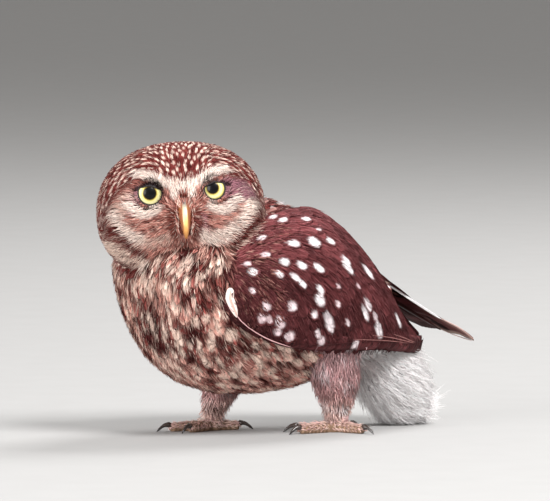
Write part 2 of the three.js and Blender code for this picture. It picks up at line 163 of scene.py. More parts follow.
class Region(Enum):
    """The parts of the bird that carry one kind of coat each."""

    HEAD = "head"
    NECK = "neck"
    TRUNK = "trunk"
    UNDERTAIL = "undertail"
    WING_LEFT = "wing_left"
    WING_RIGHT = "wing_right"
    LEG_LEFT = "leg_left"
    LEG_RIGHT = "leg_right"
    FOOT_LEFT = "foot_left"
    FOOT_RIGHT = "foot_right"


REGIONS = list(Region)
COAT_DEPTH = {
    Region.HEAD: 2.6, Region.NECK: 3.6, Region.TRUNK: 4.0, Region.UNDERTAIL: 6.0,
    Region.WING_LEFT: 1.2, Region.WING_RIGHT: 1.2, Region.LEG_LEFT: 2.4, Region.LEG_RIGHT: 2.4,
    Region.FOOT_LEFT: 0.3, Region.FOOT_RIGHT: 0.3,
}


def numbers(items: object, key: str, width: int, kind: type = float) -> Array:
    """One property of every item of a mesh, as an array with so many columns.

    Args:
        items: the mesh's vertices, corners or faces.
        key: the property's name.
        width: how many numbers each item has.
        kind: the type of the numbers.

    Returns:
        A row for each item.
    """
    out = np.zeros(len(items) * width, np.float32 if kind is float else np.int32)
    items.foreach_get(key, out)
    return out.reshape(-1, width).astype(kind)


def new_object(name: str, mesh: bpy.types.Mesh) -> bpy.types.Object:
    """A new object at the origin that shows a mesh.

    Args:
        name: its name.
        mesh: the mesh.

    Returns:
        The object.
    """
    piece = bpy.data.objects.new(name, mesh)
    bpy.context.scene.collection.objects.link(piece)
    return piece


def node_copy(names: Iterable[str], grow: float = 0.0) -> bmesh.types.BMesh:
    """CAD nodes copied into one bmesh, with their doubles merged.

    Args:
        names: the nodes to copy.
        grow: how far their faces move outwards, in metres.

    Returns:
        A bmesh that the caller frees.
    """
    bm = bmesh.new()
    for name in names:
        part = bmesh.new()
        part.from_mesh(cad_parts[name].data)
        bmesh.ops.remove_doubles(part, verts=part.verts, dist=1e-6)
        part.normal_update()
        for vert in part.verts:
            vert.co += vert.normal * grow
        mesh = bpy.data.meshes.new("part")
        part.to_mesh(mesh)
        part.free()
        bm.from_mesh(mesh)
        bpy.data.meshes.remove(mesh)
    return bm


def soften(bm: bmesh.types.BMesh, verts: Iterable[bmesh.types.BMVert], factor: float, times: int) -> None:
    """Smooth some vertices so many times, each time by the factor.

    Args:
        bm: the mesh.
        verts: the vertices to move.
        factor: how far each time.
        times: how often.
    """
    for _ in range(times):
        bmesh.ops.smooth_vert(
            bm, verts=verts, factor=factor, use_axis_x=True, use_axis_y=True, use_axis_z=True
        )


def remeshed(bm: bmesh.types.BMesh, voxel: float, softening: int) -> bpy.types.Mesh:
    """A closed, even mesh round what a bmesh holds.

    Args:
        bm: the shapes to wrap, freed afterwards.
        voxel: the size of the new faces in metres.
        softening: how many times the new surface is smoothed.

    Returns:
        The new mesh.
    """
    mesh = bpy.data.meshes.new("rough")
    bm.to_mesh(mesh)
    bm.free()
    piece = new_object("rough", mesh)
    wrap = piece.modifiers.new("wrap", "REMESH")
    wrap.mode = "VOXEL"
    wrap.voxel_size = voxel
    graph = bpy.context.evaluated_depsgraph_get()
    result = bpy.data.meshes.new_from_object(piece.evaluated_get(graph))
    bpy.data.objects.remove(piece)
    bpy.data.meshes.remove(mesh)
    even = bmesh.new()
    even.from_mesh(result)
    soften(even, even.verts, 0.5, softening)
    even.to_mesh(result)
    even.free()
    return result


# The photograph's view


def look_back(azimuth: float, elevation: float) -> Vector:
    """The way from the bird towards a camera or a lamp at some angles, in degrees."""
    a, e = math.radians(azimuth), math.radians(elevation)
    return Vector((math.sin(a) * math.cos(e), -math.cos(a) * math.cos(e), math.sin(e)))


@dataclass(frozen=True)
class Photo:
    """The photograph's camera, in millimetres, degrees and pixels."""

    aim: tuple[float, float, float] = (3.56, -12.1, 85.6)
    azimuth: float = 58.0
    elevation: float = 3.5
    distance: float = 4000.0
    lens: float = 555.0
    sensor: float = 36.0
    width: float = 550.0
    height: float = 501.0

    @property
    def place(self) -> Vector:
        """Where the camera is."""
        return Vector(self.aim) + look_back(self.azimuth, self.elevation) * self.distance

    def axes(self) -> tuple[Vector, Vector, Vector]:
        """The ways to the picture's right, to its top and back to the camera.

        Returns:
            The three unit vectors.
        """
        back = look_back(self.azimuth, self.elevation)
        right = Vector((-back.y, back.x, 0.0)).normalized()
        return right, back.cross(right), back

    def ray(self, across: float, down: float) -> Vector:
        """The way from the camera to what a pixel shows, counted from the upper left corner.

        Args:
            across: the pixel, counted from the left.
            down: the pixel, counted from the top.

        Returns:
            A unit vector.
        """
        right, up, back = self.axes()
        size = self.sensor / self.lens / self.width
        way = right * (across - self.width / 2) * size - up * (down - self.height / 2) * size
        return (way - back).normalized()

    def pixels(self, points: Array) -> Array:
        """The pixels, across and down, that show some points.

        Args:
            points: the places, in millimetres.

        Returns:
            A row for each place.
        """
        right, up, back = (np.array(axis) for axis in self.axes())
        gap = points - np.array(self.aim)
        scale = self.lens / self.sensor * self.width / (self.distance - gap @ back)
        across = self.width / 2 + gap @ right * scale
        down = self.height / 2 - gap @ up * scale
        return np.stack([across, down], -1)


PHOTO = Photo()


@dataclass(frozen=True)
class Crop:
    """An enlarged part of the photograph on which places were read."""

    left: float
    top: float
    zoom: float

    def pixel(self, across: float, down: float) -> tuple[float, float]:
        """The photograph's pixel for a place on the enlarged part."""
        return self.left + across / self.zoom, self.top + down / self.zoom


# Where the head is


@dataclass(frozen=True)
class HeadFrame:
    """The head's own frame: the face looks along -Y and the bird's left is +X."""

    centre: tuple[float, float, float] = (4.445, -64.57, 104.5)
    yaw: float = 62.5
    roll: float = -3.2
    eye_across: float = 15.1
    eye_depth: float = 13.4
    eye_height: float = 11.2
    eye_radius: float = 8.0
    eye_tilt: float = 6.0
    brow_places: tuple[float, ...] = (0, 7, 11, 15, 19, 25, 35)
    brow_heights: tuple[float, ...] = (15.6, 16.8, 19.6, 22.0, 23.4, 24.0, 20.0)

    def below_brow(self, points: Array, soft: float) -> Array:
        """From 0 above the brows to 1 below them, for places in the head's frame."""
        top = np.interp(np.abs(points[:, 0]), self.brow_places, self.brow_heights)
        return 1 - smooth(top - soft, top + soft, points[:, 2])

    def matrix(self) -> Matrix:
        """The turn from the head's frame to the bird's, without the move."""
        turn = Matrix.Rotation(math.radians(self.yaw), 3, "Z")
        return turn @ Matrix.Rotation(math.radians(self.roll), 3, "Y")

    def local(self, points: Array) -> Array:
        """Points of the bird in the head's frame, in millimetres."""
        return (points - np.array(self.centre)) @ np.array(self.matrix())

    def directions(self, vectors: Array) -> Array:
        """Directions of the head's frame, turned into the bird's."""
        return vectors @ np.array(self.matrix()).T

    def place(self, point: Sequence[float]) -> Vector:
        """One place of the head's frame in the bird's, in millimetres."""
        return self.matrix() @ Vector(point) + Vector(self.centre)

    def eye(self, side: int) -> Vector:
        """The middle of one eyeball; side is 1 for the bird's left."""
        return self.place((side * self.eye_across, -self.eye_depth, self.eye_height))


HEAD = HeadFrame()


# The surface that plumage lies on


class Outline:
    """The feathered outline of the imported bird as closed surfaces, in millimetres."""

    BODY_VOXEL = 0.00125
    BODY_GROWTH = 0.00022
    FEET_VOXEL = 0.0006
    FEET_GROWTH = 0.0001
    TRIES = 5

    def __init__(self) -> None:
        """Wrap copies of the flesh nodes and note which node each face came from."""
        names = [r.value for r in REGIONS]
        body = [name for name in names if "foot" not in name]
        feet = [name for name in names if "foot" in name or "leg" in name]
        places, faces, normals, start = [], [], [], 0
        for mesh in (
            remeshed(node_copy(body, self.BODY_GROWTH), self.BODY_VOXEL, 3),
            remeshed(node_copy(feet, self.FEET_GROWTH), self.FEET_VOXEL, 2),
        ):
            places.append(numbers(mesh.vertices, "co", 3) / MM)
            normals.append(numbers(mesh.vertex_normals, "vector", 3))
            quads = numbers(mesh.loops, "vertex_index", 1, int).reshape(-1, 4)
            faces.append(quads + start)
            start += len(mesh.vertices)
        self.places = np.concatenate(places)
        self.normals = np.concatenate(normals)
        self.faces = np.concatenate(faces)
        self.centres = self.places[self.faces].mean(1)
        self.face_normals = unit(self.normals[self.faces].mean(1))
        corners = self.places[self.faces]
        diagonals = np.cross(corners[:, 2] - corners[:, 0], corners[:, 3] - corners[:, 1])
        self.areas = np.linalg.norm(diagonals, axis=1) / 2
        self.tree = BVHTree.FromPolygons(self.places.tolist(), self.faces.tolist())
        self.tags = self._tags()
        log.info("outline: %d faces, %.0f mm2", len(self.faces), self.areas.sum())

    def _tags(self) -> Array:
        """The index in REGIONS of the node nearest to each face.

        Returns:
            An index for each face.
        """
        places, faces, owner, start = [], [], [], 0
        for index, region in enumerate(REGIONS):
            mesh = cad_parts[region.value].data
            places.append(numbers(mesh.vertices, "co", 3) / MM)
            mesh.calc_loop_triangles()
            tris = numbers(mesh.loop_triangles, "vertices", 3, int)
            faces.append(tris + start)
            owner.append(np.full(len(tris), index))
            start += len(mesh.vertices)
        tree = BVHTree.FromPolygons(np.concatenate(places).tolist(), np.concatenate(faces).tolist())
        owners = np.concatenate(owner)
        return np.array([owners[tree.find_nearest(c)[2]] for c in self.centres.tolist()])

    def nearest(self, points: Array) -> tuple[Array, Array]:
        """The surface's nearest places to some points, and its outward normals there.

        Args:
            points: the places, in millimetres.

        Returns:
            The places and the normals.
        """
        hits = [self.tree.find_nearest(p) for p in points.tolist()]
        places = np.array([hit[0][:] for hit in hits])
        return places, self.face_normals[[hit[2] for hit in hits]]

    def seen(self, across: float, down: float) -> Array:
        """The place on the surface that the photograph shows at a pixel.

        Args:
            across: the pixel, counted from the left.
            down: the pixel, counted from the top.

        Returns:
            The place, in millimetres.
        """
        place = self.tree.ray_cast(PHOTO.place, PHOTO.ray(across, down))[0]
        if place is None:
            raise ValueError(f"no part of the bird at pixel {across:.0f}, {down:.0f}")
        return np.array(place)

    def region(self, points: Array) -> Array:
        """The index in REGIONS of the surface nearest to each point."""
        return self.tags[[self.tree.find_nearest(p)[2] for p in points.tolist()]]

    def scatter(
        self,
        regions: Sequence[Region],
        spacing: Spacing,
        keep: PlaceRule | None,
        seed: int,
    ) -> Array:
        """Places spread evenly over some regions, no two nearer than the spacing there.

        Args:
            regions: where the places may be.
            spacing: the least distance between neighbours, or what gives it at each place.
            keep: says which candidate places, with their normals, may be used.
            seed: picks the layout.

        Returns:
            The places, in millimetres.
        """
        def least(points: Array) -> Array:
            """The least distance between neighbours at each place."""
            gap = spacing(points) if callable(spacing) else np.full(len(points), spacing)
            return np.clip(gap, LEAST_GAP, None)

        rng = np.random.default_rng(seed)
        inside = np.isin(self.tags, [REGIONS.index(r) for r in regions])
        if keep is not None:
            inside &= keep(self.centres, self.face_normals)
        faces = np.flatnonzero(inside)
        weight = self.areas[faces] / least(self.centres[faces]) ** 2
        count = int(weight.sum() * self.TRIES)
        drawn = rng.choice(faces, count, p=weight / weight.sum())
        mix = rng.dirichlet(np.ones(4), count)
        points = (self.places[self.faces[drawn]] * mix[:, :, None]).sum(1)
        gaps = least(points)
        tree = KDTree(count)
        for i, p in enumerate(points.tolist()):
            tree.insert(p, i)
        tree.balance()
        free = np.ones(count, bool)
        kept = []
        for i in range(count):
            if free[i]:
                kept.append(i)
                for _, j, _ in tree.find_range(points[i], gaps[i]):
                    free[j] = False
        return points[kept]


# How feathers lie


class Lie:
    """Which way the plumage runs at each place on the bird."""

    THROAT_WAY = np.array([0.0, -0.5, -1.0])
    BREAST_WAY = np.array([0.0, 0.28, -1.0])
    BELLY_WAY = np.array([0.0, 0.8, -0.7])
    BACK_WAY = np.array([0.0, 0.95, -0.36])
    LEG_WAY = np.array([0.0, 0.12, -1.0])
    PUFF_WAY = np.array([0.2, 0.85, -0.5])
    NAPE_WAY = np.array([0.0, 0.2, -1.1])
    FACE_POLE = np.array([0.0, -30.0, 1.0])
    EYE_REACH = 8.5
    EYE_PULL = 1.6
    RIM_TURN = 70.0

    @staticmethod
    def along(ways: Array, normals: Array) -> Array:
        """Directions laid flat on the surface."""
        flat = ways - normals * (ways * normals).sum(1, keepdims=True)
        return unit(flat)

    @classmethod
    def body(cls, points: Array, normals: Array) -> Array:
        """Down the breast, slanting back over the belly, and back along the mantle.

        Args:
            points: the places, in millimetres.
            normals: the outline's outward normals there.

        Returns:
            A unit vector for each place.
        """
        _, y, z = points.T
        ways = blend(cls.BREAST_WAY, cls.BELLY_WAY, smooth(-78, -35, y))
        ways = blend(ways, cls.THROAT_WAY, smooth(68, 80, z) * smooth(-52, -66, y))
        upper = smooth(0.1, 0.5, normals[:, 2]) * smooth(55, 70, z) * smooth(-60, -46, y)
        return cls.along(blend(ways, cls.BACK_WAY, upper), normals)

    @classmethod
    def head(cls, points: Array, normals: Array) -> Array:
        """Outwards over the face, round the face's rim from the crown, and down the nape.

        Args:
            points: the places, in millimetres.
            normals: the outline's outward normals there.

        Returns:
            A unit vector for each place.
        """
        p = HEAD.local(points)
        x, y, z = p.T
        ways = unit(p - cls.FACE_POLE)
        for side in (-1, 1):
            eye = np.array([side * HEAD.eye_across, -HEAD.eye_depth - 8, HEAD.eye_height])
            gap = p - eye
            near = np.exp(-((np.hypot(gap[:, 0], gap[:, 2]) / cls.EYE_REACH) ** 2)) * (y < -6)
            ways = ways + unit(gap * np.array([1, 0, 1])) * near[:, None] * cls.EYE_PULL
        ways = unit(ways)
        rim = smooth(0.92, 1.12, np.hypot(x / 34, (z + 1) / 23)) * smooth(6, -6, y)
        turn = np.radians(cls.RIM_TURN) * rim * smooth(6, 20, np.abs(x)) * (z > -4)
        around = unit(np.stack([np.sign(x) * (z - 2), 0 * x, -np.abs(x)], 1))
        ways = ways * np.cos(turn)[:, None] + around * np.sin(turn)[:, None]
        down = smooth(2, 24, y)[:, None]
        ways = ways + down * cls.NAPE_WAY
        return cls.along(HEAD.directions(ways), normals)

    @classmethod
    def leg(cls, points: Array, normals: Array) -> Array:
        """Down the leg."""
        return cls.along(np.tile(cls.LEG_WAY, (len(points), 1)), normals)

    @classmethod
    def puff(cls, points: Array, normals: Array) -> Array:
        """Down and back over the undertail."""
        return cls.along(np.tile(cls.PUFF_WAY, (len(points), 1)), normals)


# Feather shapes


@dataclass(frozen=True)
class Form:
    """One kind of plume: its stations along it, its width at each, and its columns across."""

    stations: tuple[float, ...]
    widths: tuple[float, ...]
    columns: tuple[float, ...]
    thickness: float
    cup: float = 0.12

    @property
    def around(self) -> int:
        """How many vertices a ring has, with the one underneath."""
        return len(self.columns) + 1

    def faces(self) -> tuple[Array, Array]:
        """The side faces as rows of four, and the two end faces as rows.

        Returns:
            The indices of the vertices of both kinds.
        """
        a = self.around
        sides = []
        for r in range(len(self.stations) - 1):
            for k in range(a):
                n = (k + 1) % a
                sides.append((r * a + k, (r + 1) * a + k, (r + 1) * a + n, r * a + n))
        last = (len(self.stations) - 1) * a
        ends = [tuple(range(a)), tuple(last + a - 1 - k for k in range(a))]
        return np.array(sides), np.array(ends)

    def grid(self) -> tuple[Array, Array]:
        """Where each vertex is across the plume, from -1 to 1, and along it, from 0 to 1.

        Returns:
            Both numbers for each vertex.
        """
        across = np.tile([*self.columns, 0.0], len(self.stations))
        along = np.repeat(self.stations, self.around)
        return across, along


VANE = Form((0, 0.36, 0.6, 0.78, 0.9, 1.0), (0.4, 0.85, 1.0, 0.95, 0.78, 0.4),
            (-1, -0.5, 0, 0.5, 1), 0.2, 0.06)
SPIKE = Form((0, 0.35, 0.7, 1.0), (0.9, 1.0, 0.66, 0.08), (-1, 1), 0.16, 0.0)
HAIR = Form((0, 0.45, 1.0), (0.9, 1.0, 0.1), (-1, 1), 0.12, 0.0)
COVERT = Form((0, 0.22, 0.4, 0.54, 0.66, 0.76, 0.85, 0.92, 0.97, 1.0),
              (0.35, 0.8, 0.95, 1.0, 1.0, 0.96, 0.88, 0.74, 0.56, 0.32),
              (-1, -0.7, -0.35, 0, 0.35, 0.7, 1), 0.25, 0.04)
QUILL = Form((0, 0.1, 0.2, 0.3, 0.4, 0.5, 0.6, 0.7, 0.78, 0.85, 0.91, 0.96, 1.0),
             (0.3, 0.75, 0.9, 0.97, 1.0, 1.0, 1.0, 0.97, 0.9, 0.78, 0.6, 0.38, 0.08),
             (-1, -0.66, -0.33, 0, 0.33, 0.66, 1), 0.45, 0.05)


@dataclass
class Plumes:
    """Many plumes of one form: their middle lines, their upper sides and their widths."""

    form: Form
    centres: Array
    normals: Array
    half_widths: Array
    colours: Array | None = None
    cells: Array | None = None
    ragged: float = 0.0

    @property
    def count(self) -> int:
        """How many plumes there are."""
        return len(self.centres)

    def only(self, chosen: Array) -> "Plumes":
        """The chosen plumes, before they have colours.

        Args:
            chosen: true for each plume to keep.

        Returns:
            The plumes that are kept.
        """
        return Plumes(
            self.form, self.centres[chosen], self.normals[chosen], self.half_widths[chosen],
            ragged=self.ragged,
        )

    def vertices(self) -> Array:
        """Every vertex, in millimetres, plume by plume.

        Returns:
            The vertices, for each plume.
        """
        form = self.form
        ahead = unit(np.gradient(self.centres, axis=1))
        side = unit(np.cross(self.normals, ahead))
        up = unit(np.cross(ahead, side))
        half = self.half_widths[:, None] * np.array(form.widths)
        u = np.array(form.columns)
        ring = self.centres[:, :, None] + side[:, :, None] * (half[:, :, None] * u)[..., None]
        drop = form.cup * half[:, :, None] * u**2
        ring = ring - up[:, :, None] * drop[..., None]
        rng = np.random.default_rng(self.count)
        pull = rng.uniform(-self.ragged, self.ragged, (self.count, 1, len(u)))
        pull = pull * smooth(0.55, 1.0, np.array(form.stations))[None, :, None]
        ring = ring + ahead[:, :, None] * pull[..., None]
        under = self.centres - up * np.minimum(form.thickness, half * 0.9 + 0.05)[..., None]
        return np.concatenate([ring, under[:, :, None]], 2).reshape(self.count, -1, 3)


class Coat:
    """One piece of plumage: plumes of any forms joined in one mesh."""

    CELL = 1.25
    MARGIN = 0.1
    SEARCH = 30

    def __init__(self, name: str, patch: float, *groups: Plumes) -> None:
        """Take what the piece is made of.

        Args:
            name: the piece's name.
            patch: the size of each plume's place on the OFBake map.
            groups: plumes that have their colours and their places on the unwrap.
        """
        self.name = name
        self.patch = patch
        self.groups = groups

    def _bake_places(self) -> list[Array]:
        """The corner of each plume's patch: the free cell nearest to its root on the unwrap.

        Returns:
            The corners, for each group of plumes.
        """
        roots = np.concatenate([g.cells for g in self.groups])
        side = int(1 / (self.patch * self.CELL))
        low, high = roots.min(0), roots.max(0)
        want = (roots - low) / np.maximum(high - low, 1e-9) * (side - 1)
        reach = np.arange(-self.SEARCH, self.SEARCH + 1)
        steps = np.stack(np.meshgrid(reach, reach), -1).reshape(-1, 2)
        steps = steps[np.argsort((steps**2).sum(1), kind="stable")].tolist()
        taken: dict[tuple[int, int], int] = {}
        for i, (a, b) in enumerate(want.round().astype(int).tolist()):
            for da, db in steps:
                cell = (a + da, b + db)
                if 0 <= cell[0] < side and 0 <= cell[1] < side and cell not in taken:
                    taken[cell] = i
                    break
        corners = np.zeros((len(roots), 2))
        corners[list(taken.values())] = np.array(list(taken)) / side + self.patch * self.MARGIN
        out, start = [], 0
        for group in self.groups:
            out.append(corners[start:start + group.count])
            start += group.count
        return out

    def build(self, material: bpy.types.Material, slot: str) -> bpy.types.Object:
        """Make the piece's mesh with its colours and maps, and set it on the body.

        Args:
            material: the finish.
            slot: the record's material slot; not used.

        Returns:
            The new object.
        """
        places, colours, vane_maps, bake_maps, corners, sizes = [], [], [], [], [], []
        start = 0
        for group, patches in zip(self.groups, self._bake_places()):
            form = group.form
            sides, ends = form.faces()
            across, along = form.grid()
            per = len(across)
            vertices = group.vertices()
            firsts = start + np.arange(group.count)[:, None] * per
            faces = np.concatenate([sides.ravel(), ends.ravel()])
            corners.append((firsts + faces).ravel())
            sizes.append(np.tile([4] * len(sides) + [form.around] * 2, group.count))
            places.append(vertices.reshape(-1, 3))
            colours.append(group.colours.reshape(-1, 3))
            vane = np.stack([(across + 1) / 2, along], 1)[faces]
            vane_maps.append(np.tile(vane, (group.count, 1)))
            bake_maps.append((patches[:, None] + vane * self.patch).reshape(-1, 2))
            start += group.count * per
        corner = np.concatenate(corners).astype(np.int32)
        size = np.concatenate(sizes).astype(np.int32)
        point = np.concatenate(places) * MM
        mesh = bpy.data.meshes.new(self.name)
        mesh.vertices.add(len(point))
        mesh.loops.add(len(corner))
        mesh.polygons.add(len(size))
        mesh.vertices.foreach_set("co", point.astype(np.float32).ravel())
        mesh.loops.foreach_set("vertex_index", corner)
        mesh.polygons.foreach_set("loop_start", np.cumsum(size) - size)
        mesh.polygons.foreach_set("loop_total", size)
        for name, uv in (("OFBake", bake_maps), ("Vane", vane_maps)):
            layer = mesh.uv_layers.new(name=name)
            layer.data.foreach_set("uv", np.concatenate(uv).astype(np.float32).ravel())
        mesh.update(calc_edges=True)
        paint(mesh, np.concatenate(colours))
        mesh.polygons.foreach_set("use_smooth", np.ones(len(size), bool))
        mesh.materials.append(material)
        piece = new_object(self.name, mesh)
        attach(piece, BODY)
        return piece


def paint(mesh: bpy.types.Mesh, colours: Array) -> None:
    """Store a colour for each vertex of a mesh in its Plumage attribute.

    Args:
        mesh: the mesh.
        colours: the colours, as scene-linear values.
    """
    layer = mesh.color_attributes.new("Plumage", "FLOAT_COLOR", "POINT")
    rgba = np.concatenate([np.clip(colours, 0, 1), np.ones((len(colours), 1))], 1)
    layer.data.foreach_set("color", rgba.astype(np.float32).ravel())


def fibres(form: Form, count: int, amount: float) -> Array:
    """Streaks along plumes: a brightness for every vertex of so many plumes.

    Args:
        form: the form of the plumes.
        count: how many plumes there are.
        amount: how strong the streaks are.

    Returns:
        A factor near 1 for each vertex of each plume.
    """
    rng = np.random.default_rng(count)
    lines = np.tile(rng.normal(0, amount, (count, form.around)), (1, len(form.stations)))
    return np.exp(lines + rng.normal(0, amount * 0.4, lines.shape))


@dataclass
class Pattern:
    """Streaks, rims and painted shade at the roots of plumes; each colour has a row, and each share a
    number, per plume.
    """

    base: Array
    rim: Array | None = None
    rim_share: Array | float = 0.0
    streak: Array | None = None
    streak_share: Array | float = 0.0
    streak_width: Array | float = 0.35
    # How much darker each plume is at its root, as painted shade
    root_painted_shade: float = 0.25
    fibre: float = 0.0

    @staticmethod
    def _rows(value: Array | float) -> Array:
        """A number for each plume as a column."""
        return np.asarray(value, float).reshape(-1, 1)

    def colours(self, form: Form) -> Array:
        """The colour of every vertex of every plume.

        Args:
            form: the form of the plumes.

        Returns:
            The colours, for each plume.
        """
        across, along = form.grid()
        u, s = across[None], along[None]
        out = np.repeat(self.base[:, None], len(across), 1)
        if self.streak is not None:
            mask = np.exp(-((u / self._rows(self.streak_width)) ** 2)) * smooth(0.2, 0.6, s)
            out = blend(out, self.streak[:, None], mask * self._rows(self.streak_share))
        if self.rim is not None:
            mask = smooth(0.45, 0.95, np.abs(u)) * smooth(0.35, 0.7, s) + smooth(0.9, 1.0, s)
            out = blend(out, self.rim[:, None], np.clip(mask, 0, 1) * self._rows(self.rim_share))
        # Painted shade: each plume darker towards its root, where the plumes over it shade it
        shade = 1 - self.root_painted_shade * (1 - smooth(0.0, 0.7, s))
        return out * (shade * fibres(form, len(self.base), self.fibre))[..., None]


@dataclass
class Bed:
    """Plumes of one form on the outline: where they grow, which way, and the first of its seeds."""

    outline: Outline
    form: Form
    flow: PlaceRule
    regions: Sequence[Region]
    spacing: Spacing
    keep: PlaceRule | None
    seed: int
    roots: Array = field(init=False)
    rng: np.random.Generator = field(init=False)

    def __post_init__(self) -> None:
        """Scatter the roots."""
        self.roots = self.outline.scatter(self.regions, self.spacing, self.keep, self.seed)
        self.rng = np.random.default_rng(self.seed + 1)

    @property
    def count(self) -> int:
        """How many roots there are."""
        return len(self.roots)

    def lay(
        self,
        lengths: Array,
        half_widths: Array,
        sink: float,
        lift: Array | float,
        stray: float,
        free: float = 1.0,
    ) -> Plumes:
        """Run each plume downstream from its root.

        Args:
            lengths: how long they are.
            half_widths: half of how wide they are.
            sink: how far the root lies under the outline.
            lift: how far the tip stands over it.
            stray: how far plumes turn from the flow, in degrees.
            free: the share of the length after which plumes leave the outline.

        Returns:
            The plumes, without colours.
        """
        rng = np.random.default_rng(self.seed + 2)
        turn = np.radians(rng.normal(0, stray, self.count))[:, None]
        here, normal = self.outline.nearest(self.roots)
        places, normals = [here], [normal]
        s = np.array(self.form.stations)
        for step, station in zip(np.diff(s), s[1:]):
            way = self.flow(here, normal)
            way = way * np.cos(turn) + np.cross(normal, way) * np.sin(turn)
            here = here + way * (lengths * step)[:, None]
            if station <= free:
                here, normal = self.outline.nearest(here)
            places.append(here)
            normals.append(normal)
        rise = -sink * (1 - s) ** 1.4 + np.reshape(lift, (-1, 1)) * s**1.5
        normal = unit(np.stack(normals, 1))
        centres = np.stack(places, 1) + normal * rise[..., None]
        centres[..., 2] = np.maximum(centres[..., 2], FLOOR_GAP)
        return Plumes(self.form, centres, normal, half_widths)


# Colours of the plumage by place


@dataclass(frozen=True)
class Stroke:
    """A soft band of colour on the face, in the head's frame; side 0 puts it on both sides."""

    line: Line
    width: float
    colour: Array
    share: float = 1.0
    side: int = 0

    def mask(self, x: Array, z: Array) -> Array:
        """How much of the stroke shows at each place.

        Args:
            x: how far each place is across the face.
            z: how high it is.

        Returns:
            A share from 0 to 1 for each place.
        """
        best = np.full(len(x), 1e9)
        for (ax, az), (bx, bz) in zip(self.line, self.line[1:]):
            dx, dz = bx - ax, bz - az
            t = ((np.abs(x) - ax) * dx + (z - az) * dz) / max(dx * dx + dz * dz, 1e-9)
            t = np.clip(t, 0, 1)
            best = np.minimum(best, np.hypot(np.abs(x) - ax - t * dx, z - az - t * dz))
        soft = 1 - smooth(self.width * 0.55, self.width * 1.35, best)
        return soft * self.share * (self.side * x >= 0)


